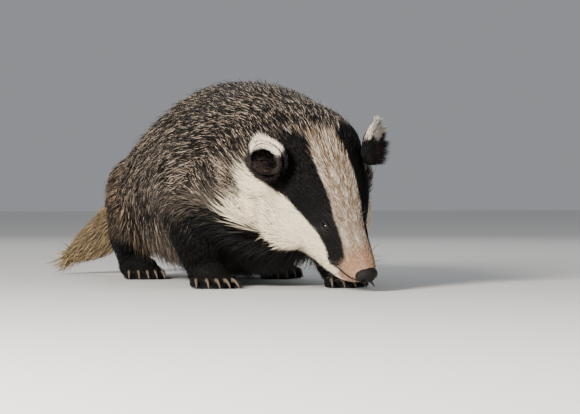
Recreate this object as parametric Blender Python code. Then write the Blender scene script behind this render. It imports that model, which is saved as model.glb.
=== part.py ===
# European badger, life-size, standing low with its head down to the ground.
# Metres, +Z up. The animal faces -Y, its left is +X, and it stands on z = 0.
# The whole animal is modelled first, then parted with thin cuts into named nodes.

import itertools
import math
import random

import bmesh
import bpy
from mathutils import Matrix, Vector
from mathutils.bvhtree import BVHTree

GAP = 0.0003
LOCK_GAP = 0.00045
TORSO_SEED = 7
NECK_SEED = 13
TAIL_SEED = 13

ACROSS = Vector((1, 0, 0))
ALONG = Vector((0, 1, 0))
UP = Vector((0, 0, 1))

# Head: its local frame has x to the animal's left, y back from the nose tip and z up.
NOSE_TIP = Vector((0.0657, -0.3598, 0.0151))
HEAD_YAW = math.radians(22)
HEAD_PITCH = math.radians(49.5)
HEAD_ROLL = math.radians(13.5)
HEAD_AXES = (
    Matrix.Rotation(HEAD_YAW, 3, "Z")
    @ Matrix.Rotation(HEAD_PITCH, 3, "X")
    @ Matrix.Rotation(-HEAD_ROLL, 3, "Y")
)
# Head sections: distance behind the nose tip, half width, top, bottom.
HEAD_SECTIONS = (
    (0.006, 0.0135, 0.0085, -0.0165),
    (0.018, 0.0190, 0.0120, -0.0300),
    (0.034, 0.0230, 0.0155, -0.0415),
    (0.052, 0.0265, 0.0200, -0.0500),
    (0.071, 0.0330, 0.0285, -0.0560),
    (0.087, 0.0420, 0.0380, -0.0615),
    (0.105, 0.0510, 0.0455, -0.0665),
    (0.125, 0.0590, 0.0500, -0.0700),
    (0.145, 0.0600, 0.0500, -0.0715),
    (0.165, 0.0560, 0.0450, -0.0670),
    (0.183, 0.0400, 0.0330, -0.0480),
)
HEAD_ROUNDNESS = 2.6
CHEEK_PLACE = Vector((0.0400, 0.1260, -0.0330))
CHEEK_HALF = Vector((0.0270, 0.0460, 0.0300))
EYE_PLACE = Vector((0.0258, 0.0720, 0.0104))
EYE_LOOK = Vector((0.86, -0.30, 0.42)).normalized()
EYE_RADIUS = 0.0064
LID_HALF_LENGTH = 0.0060
LID_HALF_HEIGHT = 0.0047
LID_RADIUS = 0.0019
LID_LEVEL = 0.0034
EAR_PLACE = Vector((0.0625, 0.1550, 0.0360))
EAR_TIP_WAY = Vector((0.38, 0.60, 0.70)).normalized()
EAR_OPEN_WAY = Vector((0.62, -0.70, 0.10))
EAR_HALF_WIDTH = 0.0215
EAR_HALF_HEIGHT = 0.0245
EAR_HALF_DEPTH = 0.0095
EAR_WALL = 0.0026
NOSE_PAD_HALF = Vector((0.0135, 0.0085, 0.0100))
NOSE_PAD_PLACE = Vector((0.0, 0.0075, -0.0005))
NOSTRIL_PLACE = Vector((0.0058, 0.0005, -0.0005))
NOSTRIL_HALF = Vector((0.0026, 0.0060, 0.0034))

# Torso sections out to the tips of the coat: y, half width, top, bottom, roundness of the back.
TORSO_SECTIONS = (
    (-0.230, 0.092, 0.222, 0.042, 2.00),
    (-0.170, 0.114, 0.238, 0.034, 2.00),
    (-0.090, 0.121, 0.246, 0.034, 2.00),
    (0.000, 0.121, 0.248, 0.032, 1.95),
    (0.090, 0.127, 0.232, 0.033, 1.80),
    (0.170, 0.126, 0.199, 0.038, 1.70),
    (0.230, 0.111, 0.171, 0.046, 1.75),
    (0.280, 0.085, 0.146, 0.058, 1.85),
    (0.310, 0.052, 0.132, 0.076, 2.00),
    (0.325, 0.025, 0.123, 0.093, 2.00),
)
WIDEST_LEVEL = 0.40
# Neck sections: share of the way from head to shoulder, half width, rise, drop.
NECK_SECTIONS = (
    (0.00, 0.060, 0.050, 0.074),
    (0.25, 0.073, 0.062, 0.088),
    (0.50, 0.087, 0.074, 0.098),
    (0.75, 0.099, 0.086, 0.102),
    (1.00, 0.108, 0.096, 0.100),
)
THROAT_ROUNDNESS = 2.6
NECK_START = Vector((0.0, 0.153, 0.002))
NECK_END = Vector((0.0, -0.150, 0.140))

# Limbs for the right side, whose x is negative; mirrored for the left.
FORELEG_PATH = (
    (-0.076, -0.150, 0.130),
    (-0.086, -0.125, 0.090),
    (-0.080, -0.150, 0.052),
    (-0.078, -0.168, 0.028),
)
FORELEG_RADII = (0.050, 0.040, 0.029, 0.024)
HINDLEG_PATH = (
    (-0.070, 0.168, 0.108),
    (-0.094, 0.142, 0.085),
    (-0.090, 0.190, 0.050),
    (-0.086, 0.195, 0.026),
)
HINDLEG_RADII = (0.052, 0.042, 0.028, 0.021)
FOREPAW_LENGTH = 0.050
HINDPAW_LENGTH = 0.078
PAW_HALF_WIDTH = 0.023
TOE_RADIUS = 0.0072
FORECLAW_LENGTH = 0.024
HINDCLAW_LENGTH = 0.014
LEG_ROOT_HEIGHT = 0.130
LEFT_FORE_STEP = -0.020
LEFT_HIND_STEP = -0.035

TAIL_PATH = (
    (0.000, 0.285, 0.126),
    (-0.034, 0.319, 0.102),
    (-0.074, 0.337, 0.070),
    (-0.102, 0.345, 0.046),
    (-0.126, 0.349, 0.031),
)
TAIL_RADII = (0.030, 0.031, 0.032, 0.028, 0.020)

TOES = 5
TOE_ARC = 0.010
TOE_HEIGHT = 0.0075
PAD_HEIGHT = 0.014
CLAW_RADIUS = 0.0030
CLAW_SIDES = 6
CLAW_TIP_HEIGHT = 0.0016

# Where the thin cuts between nodes run.
MOUTH_FRONT = Vector((0.0, 0.010, -0.0105))
MOUTH_SLOPE = math.radians(-12)
MOUTH_LENGTH = 0.096
NECK_CUT = 0.150
NECK_CUT_TILT = math.radians(-17)
TORSO_CUT_Y = -0.175
TAIL_CUT_PLACE = Vector((-0.036, 0.328, 0.114))
TAIL_CUT_AXES = Matrix.Rotation(math.radians(33), 3, "Z") @ Matrix.Rotation(math.radians(-25), 3, "X")
# A leg's share of the body, level by level: height, middle along y, half length, half width.
LEG_SHARES = {
    "fore": (
        (-0.010, -0.168, 0.038, 0.040),
        (0.050, -0.152, 0.042, 0.052),
        (0.085, -0.138, 0.046, 0.056),
        (0.112, -0.140, 0.030, 0.050),
    ),
    "hind": (
        (-0.010, 0.195, 0.034, 0.040),
        (0.050, 0.184, 0.044, 0.052),
        (0.080, 0.166, 0.054, 0.058),
        (0.104, 0.164, 0.034, 0.050),
    ),
}
LEG_SHARE_X = -0.092
LEG_SHARE_SIDES = 10
PAW_CUT_HEIGHT = 0.030
PAW_CUT_INNER = 0.036
PAW_CUT_OUTER = 0.25
PAW_CUT_BACK = 0.06
PAW_CUT_FRONT = 0.14

LIP_RADIUS = 0.0019
LIP_CORNER = 0.064
LIP_TURN = 0.022
LIP_STEPS = 6
LIP_SIDES = 5
LID_STEPS = 14
LID_SIDES = 5

# The coat's locks: how far the tips stand off the core that the locks grow from, and their sizes.
COAT_RISE = 0.012
TAIL_RISE = 0.012
LOCK_FLOOR = 0.007
LOCK_ROOT = 0.006
LOCK_THICKNESS = 0.0028
# Along a lock: share of its length, share of its width, share of the rise over the core.
LOCK_STATIONS = ((0.0, 0.55, 0.0), (0.20, 1.0, 0.40), (0.65, 0.75, 0.80))
LOCK_JITTER = 0.10
LOCK_SIZE_SPREAD = 0.08
LOCK_BEND = math.radians(4)
TORSO_LOCK = (0.128, 0.054)
NECK_LOCK = (0.095, 0.058)
TAIL_LOCK = (0.074, 0.031)
TORSO_LOCK_ROWS = 7
TORSO_LOCK_Y = (-0.165, 0.280)
TORSO_LOCKS_ROUND = 7
TORSO_LOCK_SPAN = math.radians(122)
TORSO_LOCK_AXIS = 0.115
FLANK_LIE = math.radians(48)
NECK_LOCK_ROWS = (0.22, 0.52, 0.90)
NECK_LOCKS_ROUND = 5
NECK_LOCK_SPAN = math.radians(132)
TAIL_LOCK_ROWS = (0.08, 0.42, 0.78)
TAIL_LOCKS_ROUND = 5

RING_POINTS = 28
END_WIDTH = 0.6
FLAT_CORNER = 1e-5
TWIN_DISTANCE = 0.000002
TWIN_DRAW = 0.00004
END_REACH = 0.7
VOXEL = 0.0035
SMOOTHING = 7
BODY_TRIANGLES = 4500
CORE_TRIANGLES = 3000
CORE_START_Y = -0.19
CORE_LOW = 0.062

COLOURS = {
    "coat": ((0.20, 0.18, 0.16, 1), 0.85),
    "black": ((0.02, 0.018, 0.018, 1), 0.8),
    "white": ((0.72, 0.66, 0.55, 1), 0.8),
    "tail": ((0.42, 0.36, 0.27, 1), 0.85),
    "nose": ((0.03, 0.025, 0.025, 1), 0.45),
    "eye": ((0.01, 0.008, 0.007, 1), 0.1),
}


def head_point(place):
    return NOSE_TIP + HEAD_AXES @ Vector(place)


def mesh_object(name, points, faces):
    mesh = bpy.data.meshes.new(name)
    mesh.from_pydata([tuple(p) for p in points], [], faces)
    mesh.update()
    made = bpy.data.objects.new(name, mesh)
    bpy.context.scene.collection.objects.link(made)
    face_outwards(made)
    return made


def face_outwards(made):
    shape = bmesh.new()
    shape.from_mesh(made.data)
    bmesh.ops.recalc_face_normals(shape, faces=shape.faces)
    shape.to_mesh(made.data)
    shape.free()


def oval(centre, side, up, half_width, rise, drop, count=RING_POINTS, above=2.0, below=2.0):
    """A ring of points round a centre, with its own height and roundness above and below it."""
    points = []
    for i in range(count):
        angle = 2 * math.pi * i / count
        across = math.cos(angle)
        height = math.sin(angle)
        power = 2 / (above if height > 0 else below)
        across = math.copysign(abs(across) ** power, across)
        height = math.copysign(abs(height) ** power, height) * (rise if height > 0 else drop)
        points.append(centre + side * half_width * across + up * height)
    return points


def band(first, second, count):
    """The triangles between two rings whose points start at these numbers."""
    for i in range(count):
        j = (i + 1) % count
        yield (first + i, first + j, second + j)
        yield (first + i, second + j, second + i)


def loft(name, rings):
    """A closed tube through rings that have the same number of points."""
    count = len(rings[0])
    points = [p for ring in rings for p in ring]
    faces = []
    for r in range(len(rings) - 1):
        faces.extend(band(r * count, (r + 1) * count, count))
    faces.append(tuple(reversed(range(count))))
    faces.append(tuple((len(rings) - 1) * count + i for i in range(count)))
    return mesh_object(name, points, faces)


def pointed(name, rings, tip):
    """A closed form through rings that ends in a point."""
    count = len(rings[0])
    points = [p for ring in rings for p in ring] + [tip]
    faces = [tuple(reversed(range(count)))]
    for r in range(len(rings) - 1):
        faces.extend(band(r * count, (r + 1) * count, count))
    last = (len(rings) - 1) * count
    faces.extend((last + i, last + (i + 1) % count, len(points) - 1) for i in range(count))
    return mesh_object(name, points, faces)


def closed_tube(name, rings):
    """A tube through rings that follow one another round to the first again."""
    count = len(rings[0])
    points = [p for ring in rings for p in ring]
    faces = []
    for r in range(len(rings)):
        faces.extend(band(r * count, (r + 1) % len(rings) * count, count))
    return mesh_object(name, points, faces)


def limb(name, path, radii, count=RING_POINTS):
    """A round tube along a path, with a rounded end at each end."""
    path = [Vector(p) for p in path]
    rings = []
    side = Vector((1, 0, 0.01))
    for k, centre in enumerate(path):
        ahead = (path[min(k + 1, len(path) - 1)] - path[max(k - 1, 0)]).normalized()
        side = (side - ahead * ahead.dot(side)).normalized()
        up = side.cross(ahead)
        radius = radii[k]
        end = radius * END_WIDTH
        if k == 0:
            rings.append(oval(centre - ahead * radius * END_REACH, side, up, end, end, end, count))
        rings.append(oval(centre, side, up, radius, radius, radius, count))
        if k == len(path) - 1:
            rings.append(oval(centre + ahead * radius * END_REACH, side, up, end, end, end, count))
    return loft(name, rings)


def blob(name, centre, radii, axes=Matrix.Identity(3), fineness=3):
    """An ellipsoid."""
    shape = bmesh.new()
    bmesh.ops.create_icosphere(shape, subdivisions=fineness, radius=1.0)
    place = Matrix.Translation(centre) @ axes.to_4x4() @ Matrix.Diagonal((*radii, 1.0))
    bmesh.ops.transform(shape, matrix=place, verts=shape.verts)
    mesh = bpy.data.meshes.new(name)
    shape.to_mesh(mesh)
    shape.free()
    made = bpy.data.objects.new(name, mesh)
    bpy.context.scene.collection.objects.link(made)
    return made


def box(name, low, high, axes=Matrix.Identity(3), origin=Vector((0, 0, 0)), grow=0.0):
    """A block between two corners of a local frame."""
    low = [v - grow for v in low]
    high = [v + grow for v in high]
    corners = itertools.product((low[0], high[0]), (low[1], high[1]), (low[2], high[2]))
    points = [origin + axes @ Vector(corner) for corner in corners]
    faces = ((0, 1, 3, 2), (4, 6, 7, 5), (0, 4, 5, 1), (2, 3, 7, 6), (0, 2, 6, 4), (1, 5, 7, 3))
    return mesh_object(name, points, faces)


def applied(made):
    """Turns the object's modifiers into its own mesh."""
    graph = bpy.context.evaluated_depsgraph_get()
    mesh = bpy.data.meshes.new_from_object(made.evaluated_get(graph))
    made.modifiers.clear()
    made.data = mesh
    return made


def removed(*objects):
    for gone in objects:
        bpy.data.objects.remove(gone)


def joined(name, pieces):
    """One object that holds the meshes of several."""
    shape = bmesh.new()
    for piece in pieces:
        shape.from_mesh(piece.data)
    mesh = bpy.data.meshes.new(name)
    shape.to_mesh(mesh)
    shape.free()
    removed(*pieces)
    made = bpy.data.objects.new(name, mesh)
    bpy.context.scene.collection.objects.link(made)
    return made


def combined(made, others, operation):
    """One Boolean of an object with a collection of closed meshes, which are then removed."""
    group = bpy.data.collections.new("operands")
    for other in others:
        group.objects.link(other)
    modifier = made.modifiers.new("combine", "BOOLEAN")
    modifier.operation = operation
    modifier.solver = "MANIFOLD"
    modifier.operand_type = "COLLECTION"
    modifier.collection = group
    applied(made)
    removed(*others)
    bpy.data.collections.remove(group)
    return made


def keep_largest(made):
    """Keeps only the closed surface that spans the most, dropping scraps and sealed hollows."""
    shape = bmesh.new()
    shape.from_mesh(made.data)
    shape.verts.ensure_lookup_table()
    seen = set()
    islands = []
    for start in shape.verts:
        if start in seen:
            continue
        island = [start]
        seen.add(start)
        for vert in island:
            for edge in vert.link_edges:
                other = edge.other_vert(vert)
                if other not in seen:
                    seen.add(other)
                    island.append(other)
        islands.append(island)
    islands.sort(key=len)
    loose = [v for island in islands[:-1] for v in island]
    bmesh.ops.delete(shape, geom=loose, context="VERTS")
    shape.to_mesh(made.data)
    shape.free()
    return made


def corner_worth(points, ring, i, normal):
    """How well the corner at a place in a ring of points makes a triangle; nothing if it can't."""
    a, b, c = (points[ring[k % len(ring)]] for k in (i - 1, i, i + 1))
    area = (b - a).cross(c - b).dot(normal)
    longest = max((b - a).length_squared, (c - b).length_squared, (a - c).length_squared)
    if area <= longest * FLAT_CORNER:
        return 0.0
    kept = {ring[k % len(ring)] for k in (i - 1, i, i + 1)}
    for other in ring:
        p = points[other]
        if other in kept:
            continue
        turns = [(q - o).cross(p - o).dot(normal) for o, q in ((a, b), (b, c), (c, a))]
        if min(turns) >= -longest * FLAT_CORNER:
            return 0.0
    return area / longest


def clipped(face, points, normal, used):
    """Splits a flat face into triangles, best corner first, along no edge that is already used."""
    ring = list(face)
    while len(ring) > 3:
        worths = []
        for i in range(len(ring)):
            diagonal = frozenset((ring[i - 1], ring[(i + 1) % len(ring)]))
            worth = corner_worth(points, ring, i, normal)
            worths.append((diagonal not in used, worth, i))
        free, worth, i = max(worths)
        used.add(frozenset((ring[i - 1], ring[(i + 1) % len(ring)])))
        yield (ring[i - 1], ring[i], ring[(i + 1) % len(ring)])
        del ring[i]
    yield tuple(ring)


def triangulated(made):
    """Splits an object's faces into triangles, so that no edge comes to lie between more than two."""
    mesh = made.data
    points = [v.co.copy() for v in mesh.vertices]
    used = {frozenset(edge.vertices) for edge in mesh.edges}
    faces = []
    for face in mesh.polygons:
        faces.extend(clipped(face.vertices, points, face.normal, used))
    split = bpy.data.meshes.new(made.name)
    split.from_pydata(points, [], faces)
    made.data = split
    return made


def drawn_apart(made):
    """Draws points that lie on one another apart, each a little towards its own neighbours."""
    shape = bmesh.new()
    shape.from_mesh(made.data)
    twins = bmesh.ops.find_doubles(shape, verts=shape.verts, dist=TWIN_DISTANCE)["targetmap"]
    moves = []
    for vert in set(twins) | set(twins.values()):
        around = [edge.other_vert(vert).co for edge in vert.link_edges]
        middle = sum(around, Vector()) / len(around)
        moves.append((vert, (middle - vert.co).normalized() * TWIN_DRAW))
    for vert, move in moves:
        vert.co += move
    shape.to_mesh(made.data)
    shape.free()
    return made


def head_loft():
    side, up = HEAD_AXES.col[0], HEAD_AXES.col[2]
    rings = []
    for back, half_width, top, bottom in HEAD_SECTIONS:
        middle = (top + bottom) / 2
        half_height = (top - bottom) / 2
        centre = head_point((0, back, middle))
        rings.append(oval(centre, side, up, half_width, half_height, half_height, below=HEAD_ROUNDNESS))
    return loft("head_form", rings)


def neck_frame(t):
    """Middle and axes of the neck at a share of the way from the head to the shoulder."""
    start = head_point(NECK_START)
    reach = (NECK_END - start).length / 3
    first = start + HEAD_AXES.col[1] * reach
    second = NECK_END - ALONG * reach
    s = 1 - t
    middle = start * s**3 + first * 3 * s * s * t + second * 3 * s * t * t + NECK_END * t**3
    axes = HEAD_AXES.to_quaternion().slerp(Matrix.Identity(3).to_quaternion(), t).to_matrix()
    return middle, axes


def neck_loft():
    """The core of the neck, which sinks below the tips of the coat from the head backwards."""
    rings = []
    for t, half_width, rise, drop in NECK_SECTIONS:
        middle, axes = neck_frame(t)
        sink = COAT_RISE * t
        size = (half_width - sink, rise - sink, drop - sink)
        rings.append(oval(middle, axes.col[0], axes.col[2], *size, below=THROAT_ROUNDNESS))
    return loft("neck_form", rings)


def torso_loft():
    """The core of the torso, below the tips of the coat all round."""
    rings = []
    for y, half_width, top, bottom, roundness in TORSO_SECTIONS:
        widest = bottom + (top - bottom) * WIDEST_LEVEL
        centre = Vector((0, y, widest))
        rise, drop = top - widest - COAT_RISE, widest - bottom - COAT_RISE
        rings.append(oval(centre, ACROSS, UP, half_width - COAT_RISE, rise, drop, above=roundness))
    return loft("torso_form", rings)


def stepped(path, mirror, step):
    """A right-side path, mirrored for the left where mirror is -1, its foot stepped along y."""
    return [(mirror * x, y + step * (LEG_ROOT_HEIGHT - z) / LEG_ROOT_HEIGHT, z) for x, y, z in path]


def legs():
    """Each leg as (kind, side, mirror, step, path, radii, paw length, claw length)."""
    found = []
    sides = (("right", 1, 0.0, 0.0), ("left", -1, LEFT_FORE_STEP, LEFT_HIND_STEP))
    for side, mirror, fore_step, hind_step in sides:
        fore = stepped(FORELEG_PATH, mirror, fore_step)
        hind = stepped(HINDLEG_PATH, mirror, hind_step)
        fore_leg = (fore, FORELEG_RADII, FOREPAW_LENGTH, FORECLAW_LENGTH)
        hind_leg = (hind, HINDLEG_RADII, HINDPAW_LENGTH, HINDCLAW_LENGTH)
        found.append(("fore", side, mirror, fore_step, *fore_leg))
        found.append(("hind", side, mirror, hind_step, *hind_leg))
    return found


def toe_places(heel, length):
    """The middles of a paw's five toes, in an arc across its front."""
    for i in range(TOES):
        across = (i - (TOES - 1) / 2) / ((TOES - 1) / 2)
        x = heel[0] + across * (PAW_HALF_WIDTH - TOE_RADIUS * 0.6)
        y = heel[1] - length + TOE_ARC * across * across
        yield Vector((x, y, TOE_HEIGHT)), across


def paw_forms(leg):
    """The pad of a paw and its toes, from under the end of the leg to the front."""
    path, radii, length, claw_length = leg[4:]
    heel = path[-1]
    pad_middle = Vector((heel[0], heel[1] - length * 0.42, PAD_HEIGHT))
    forms = [blob("pad", pad_middle, (PAW_HALF_WIDTH, length * 0.62, PAD_HEIGHT * 1.15))]
    for place, across in toe_places(heel, length):
        forms.append(blob("toe", place, (TOE_RADIUS, TOE_RADIUS * 1.9, TOE_RADIUS * 1.15)))
    return forms


def claws(leg):
    """Five curved claws, each from inside the front of its toe to a point just over the ground."""
    path, radii, length, claw_length = leg[4:]
    made = []
    for place, across in toe_places(path[-1], length):
        way = Vector((across * 0.22, -1, 0)).normalized()
        root = place + way * TOE_RADIUS * 0.9 + Vector((0, 0, CLAW_RADIUS * 0.5))
        middle = root + way * claw_length * 0.55 + Vector((0, 0, CLAW_RADIUS * 0.3))
        tip = root + way * claw_length * 0.95
        tip.z = CLAW_TIP_HEIGHT
        side = way.cross(UP)
        rings = []
        for centre, share in ((root, 1.0), (middle, 0.8), (tip, 0.2)):
            radius = CLAW_RADIUS * share
            rings.append(oval(centre, side, UP, radius, radius, radius, CLAW_SIDES))
        made.append(loft("claw", rings))
    return made


def body_forms():
    """Every rounded form of the flesh and coat, still overlapping."""
    forms = [torso_loft(), neck_loft(), head_loft()]
    for mirror in (1, -1):
        place = (CHEEK_PLACE.x * mirror, CHEEK_PLACE.y, CHEEK_PLACE.z)
        forms.append(blob("cheek_form", head_point(place), CHEEK_HALF, HEAD_AXES))
    for leg in legs():
        path, radii = leg[4:6]
        forms.append(limb("leg_form", path, radii))
        forms.extend(paw_forms(leg))
    forms.append(limb("tail_form", TAIL_PATH, [radius - TAIL_RISE for radius in TAIL_RADII]))
    return forms


def thinned(made, triangles, chosen=None):
    """Thins a mesh out to a number of triangles, only among its chosen points if those are told."""
    faces = sum(len(face.vertices) - 2 for face in made.data.polygons)
    thin = made.modifiers.new("thin", "DECIMATE")
    thin.ratio = triangles / faces
    if chosen:
        group = made.vertex_groups.new(name="chosen")
        group.add([v.index for v in made.data.vertices if chosen(v.co)], 1.0, "REPLACE")
        thin.vertex_group = group.name
        thin.vertex_group_factor = 1.0
    applied(made)
    made.vertex_groups.clear()


def whole_body():
    """The forms melted into one smooth closed surface, with a flat sole under each paw."""
    body = joined("torso", body_forms())
    melt = body.modifiers.new("melt", "REMESH")
    melt.mode = "VOXEL"
    melt.voxel_size = VOXEL
    smooth = body.modifiers.new("smooth", "SMOOTH")
    smooth.iterations = SMOOTHING
    applied(body)
    thinned(body, BODY_TRIANGLES)
    thinned(body, CORE_TRIANGLES, lambda p: p.y > CORE_START_Y and p.z > CORE_LOW)
    ground = box("ground", (-1, -1, -0.1), (1, 1, 0.0))
    return combined(body, [ground], "DIFFERENCE")


def surface_tree(made):
    """A search tree over an object's faces."""
    shape = bmesh.new()
    shape.from_mesh(made.data)
    tree = BVHTree.FromBMesh(shape)
    shape.free()
    return tree


def eye_place(mirror):
    return head_point((-mirror * EYE_PLACE.x, EYE_PLACE.y, EYE_PLACE.z))


def eye_ball(name, mirror, grow=0.0):
    return blob(name, eye_place(mirror), [EYE_RADIUS + grow] * 3)


def nose_pad(name, grow=0.0):
    """The bare pad of the nose, with its two nostrils."""
    pad = blob(name, head_point(NOSE_PAD_PLACE), [v + grow for v in NOSE_PAD_HALF], HEAD_AXES)
    if grow:
        return pad
    nostrils = []
    for mirror in (1, -1):
        place = head_point((mirror * NOSTRIL_PLACE.x, NOSTRIL_PLACE.y, NOSTRIL_PLACE.z))
        nostrils.append(blob("nostril", place, NOSTRIL_HALF, HEAD_AXES, 2))
    return combined(pad, nostrils, "DIFFERENCE")


def ear_axes(mirror):
    """The ear's own frame: across, out of its opening, and up to its tip."""
    tip = HEAD_AXES @ Vector((-mirror * EAR_TIP_WAY.x, EAR_TIP_WAY.y, EAR_TIP_WAY.z))
    out = HEAD_AXES @ Vector((-mirror * EAR_OPEN_WAY.x, EAR_OPEN_WAY.y, EAR_OPEN_WAY.z))
    out = (out - tip * out.dot(tip)).normalized()
    across = out.cross(tip)
    return Matrix((across, out, tip)).transposed()


def ear_cup(name, mirror, body):
    """A round cup, open to the front and side, that ends on the head where it meets it."""
    axes = ear_axes(mirror)
    middle = head_point((-mirror * EAR_PLACE.x, EAR_PLACE.y, EAR_PLACE.z))
    cup = blob(name, middle, (EAR_HALF_WIDTH, EAR_HALF_DEPTH, EAR_HALF_HEIGHT), axes)
    hollow_at = middle + axes.col[1] * EAR_HALF_DEPTH * 0.75
    hollow_size = (EAR_HALF_WIDTH - EAR_WALL, EAR_HALF_DEPTH * 1.1, EAR_HALF_HEIGHT - EAR_WALL)
    hollow = blob("hollow", hollow_at, hollow_size, axes, 2)
    combined(cup, [hollow, inflated(body, GAP)], "DIFFERENCE")
    return keep_largest(cup)


def inflated(source, by):
    """A copy of an object, moved out along its normals."""
    made = bpy.data.objects.new("inflated", source.data.copy())
    bpy.context.scene.collection.objects.link(made)
    swell = made.modifiers.new("swell", "DISPLACE")
    swell.strength = by
    swell.mid_level = 0.0
    return applied(made)


def part_off(whole, name, share):
    """Cuts the share of the whole inside a form off as a node of its own, with a thin gap between."""
    piece = bpy.data.objects.new(name, whole.data.copy())
    bpy.context.scene.collection.objects.link(piece)
    combined(piece, [share(0.0)], "INTERSECT")
    combined(whole, [share(GAP)], "DIFFERENCE")
    keep_largest(whole)
    return keep_largest(piece)


def block(low, high, axes=Matrix.Identity(3), origin=Vector((0, 0, 0))):
    return lambda grow: box("share", low, high, axes, origin, grow)


def leg_share(leg):
    """A form wider than the leg, which gives it its own part of the shoulder or haunch."""
    kind, side, mirror, step = leg[:4]
    levels = LEG_SHARES[kind]
    middles = stepped([(LEG_SHARE_X, y, height) for height, y, length, width in levels], mirror, step)

    def share(grow):
        rings = []
        for middle, (height, y, length, width) in zip(middles, levels):
            centre = Vector(middle)
            centre.z += grow if height == levels[-1][0] else 0.0
            length += grow
            rings.append(oval(centre, ACROSS, ALONG, width + grow, length, length, LEG_SHARE_SIDES))
        return loft("share", rings)

    return share


def paw_share(leg):
    """A block round the foot, up to the height where the leg starts."""
    mirror, path = leg[2], leg[4]
    across = sorted((-mirror * PAW_CUT_INNER, -mirror * PAW_CUT_OUTER))
    foot_y = path[-1][1]
    low = (across[0], foot_y - PAW_CUT_FRONT, -0.01)
    return block(low, (across[1], foot_y + PAW_CUT_BACK, PAW_CUT_HEIGHT))


def lock(tree, root, way, size, rise, dice):
    """A flat, tapered lock: it leaves the core at its root, bends along it and ends in a raised tip."""
    length = size[0] * dice.uniform(1 - LOCK_SIZE_SPREAD, 1 + LOCK_SIZE_SPREAD)
    width = size[1] * dice.uniform(1 - LOCK_SIZE_SPREAD, 1 + LOCK_SIZE_SPREAD)
    bend = dice.uniform(-LOCK_BEND, LOCK_BEND)
    place, normal = tree.find_nearest(root)[:2]
    gone = 0.0
    rings = []
    for share, wide, high in LOCK_STATIONS + ((1.0, 0.0, 1.0),):
        way = Matrix.Rotation(bend, 3, normal) @ way
        way = (way - normal * way.dot(normal)).normalized()
        place = place + way * length * (share - gone)
        place.z = max(place.z, LOCK_FLOOR)
        gone = share
        nearest, turned = tree.find_nearest(place)[:2]
        if turned.dot(normal) > 0.5:
            place, normal = nearest, turned
        centre = place + normal * (high * rise if high else -LOCK_ROOT)
        centre.z = max(centre.z, LOCK_FLOOR)
        side = way.cross(normal).normalized() * width * wide / 2
        rings.append((centre - side, centre + side, centre + normal * LOCK_THICKNESS))
    return pointed("lock", rings[:-1], centre)


def spread(dice):
    return dice.uniform(-LOCK_JITTER, LOCK_JITTER)


def torso_locks(tree):
    """Rows of locks along the torso that lie backwards, and more and more downwards on the flanks."""
    dice = random.Random(TORSO_SEED)
    made = []
    front, back = TORSO_LOCK_Y
    spacing = (back - front) / (TORSO_LOCK_ROWS - 1)
    for row in range(TORSO_LOCK_ROWS):
        for i in range(TORSO_LOCKS_ROUND):
            share = (i + 0.5 * (row % 2) + spread(dice)) / (TORSO_LOCKS_ROUND - 0.5)
            angle = (2 * share - 1) * TORSO_LOCK_SPAN
            y = front + (row + spread(dice)) * spacing
            out = Vector((math.sin(angle), 0, math.cos(angle)))
            down = Vector((math.cos(angle), 0, -math.sin(angle))) * math.copysign(1, angle)
            lie = FLANK_LIE * abs(angle) / TORSO_LOCK_SPAN
            root = tree.ray_cast(Vector((0, y, TORSO_LOCK_AXIS)), out)[0]
            if root:
                way = ALONG * math.cos(lie) + down * math.sin(lie)
                made.append(lock(tree, root, way, TORSO_LOCK, COAT_RISE, dice))
    return made


def neck_locks(tree):
    """Rings of locks round the neck that lie towards the shoulder."""
    dice = random.Random(NECK_SEED)
    made = []
    for row, t in enumerate(NECK_LOCK_ROWS):
        middle, axes = neck_frame(t)
        for i in range(NECK_LOCKS_ROUND):
            share = (i + 0.5 * (row % 2) + spread(dice)) / (NECK_LOCKS_ROUND - 0.5)
            angle = (2 * share - 1) * NECK_LOCK_SPAN
            out = axes.col[0] * math.sin(angle) + axes.col[2] * math.cos(angle)
            root = tree.ray_cast(middle, out)[0]
            if root:
                made.append(lock(tree, root, axes.col[1].copy(), NECK_LOCK, COAT_RISE * t, dice))
    return made


def tail_locks(tree):
    """Rings of locks round the tail that lie towards its end and run out past it."""
    dice = random.Random(TAIL_SEED)
    made = []
    path = [Vector(p) for p in TAIL_PATH]
    for row, t in enumerate(TAIL_LOCK_ROWS):
        at = t * (len(path) - 1)
        k = min(int(at), len(path) - 2)
        middle = path[k].lerp(path[k + 1], at - k)
        ahead = (path[k + 1] - path[k]).normalized()
        side = ahead.cross(UP).normalized()
        up = side.cross(ahead)
        for i in range(TAIL_LOCKS_ROUND):
            angle = 2 * math.pi * (i + 0.5 * (row % 2) + spread(dice)) / TAIL_LOCKS_ROUND
            out = side * math.cos(angle) + up * math.sin(angle)
            root = tree.ray_cast(middle, out)[0]
            if root:
                made.append(lock(tree, root, ahead, TAIL_LOCK, TAIL_RISE, dice))
    return made


def mouth_axes():
    return HEAD_AXES @ Matrix.Rotation(MOUTH_SLOPE, 3, "X")


def lips(tree):
    """A thin roll above and below the cut of the mouth, from corner to corner round the front."""
    axes = mouth_axes()
    stations = [LIP_CORNER + (LIP_TURN - LIP_CORNER) * i / LIP_STEPS for i in range(LIP_STEPS)]
    rays = [(back, 0.0) for back in stations]
    rays += [(LIP_TURN, math.pi * i / LIP_STEPS) for i in range(LIP_STEPS + 1)]
    rays += [(back, math.pi) for back in reversed(stations)]
    made = []
    for rise in (LIP_RADIUS, -LIP_RADIUS):
        path = []
        for back, angle in rays:
            inside = head_point(MOUTH_FRONT) + axes @ Vector((0, back - MOUTH_FRONT.y, rise))
            way = axes @ Vector((math.cos(angle), -math.sin(angle), 0))
            path.append(tree.ray_cast(inside, way)[0])
        radii = [LIP_RADIUS] * len(path)
        made.append(limb("lip", path, radii, LIP_SIDES))
    return made


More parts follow.
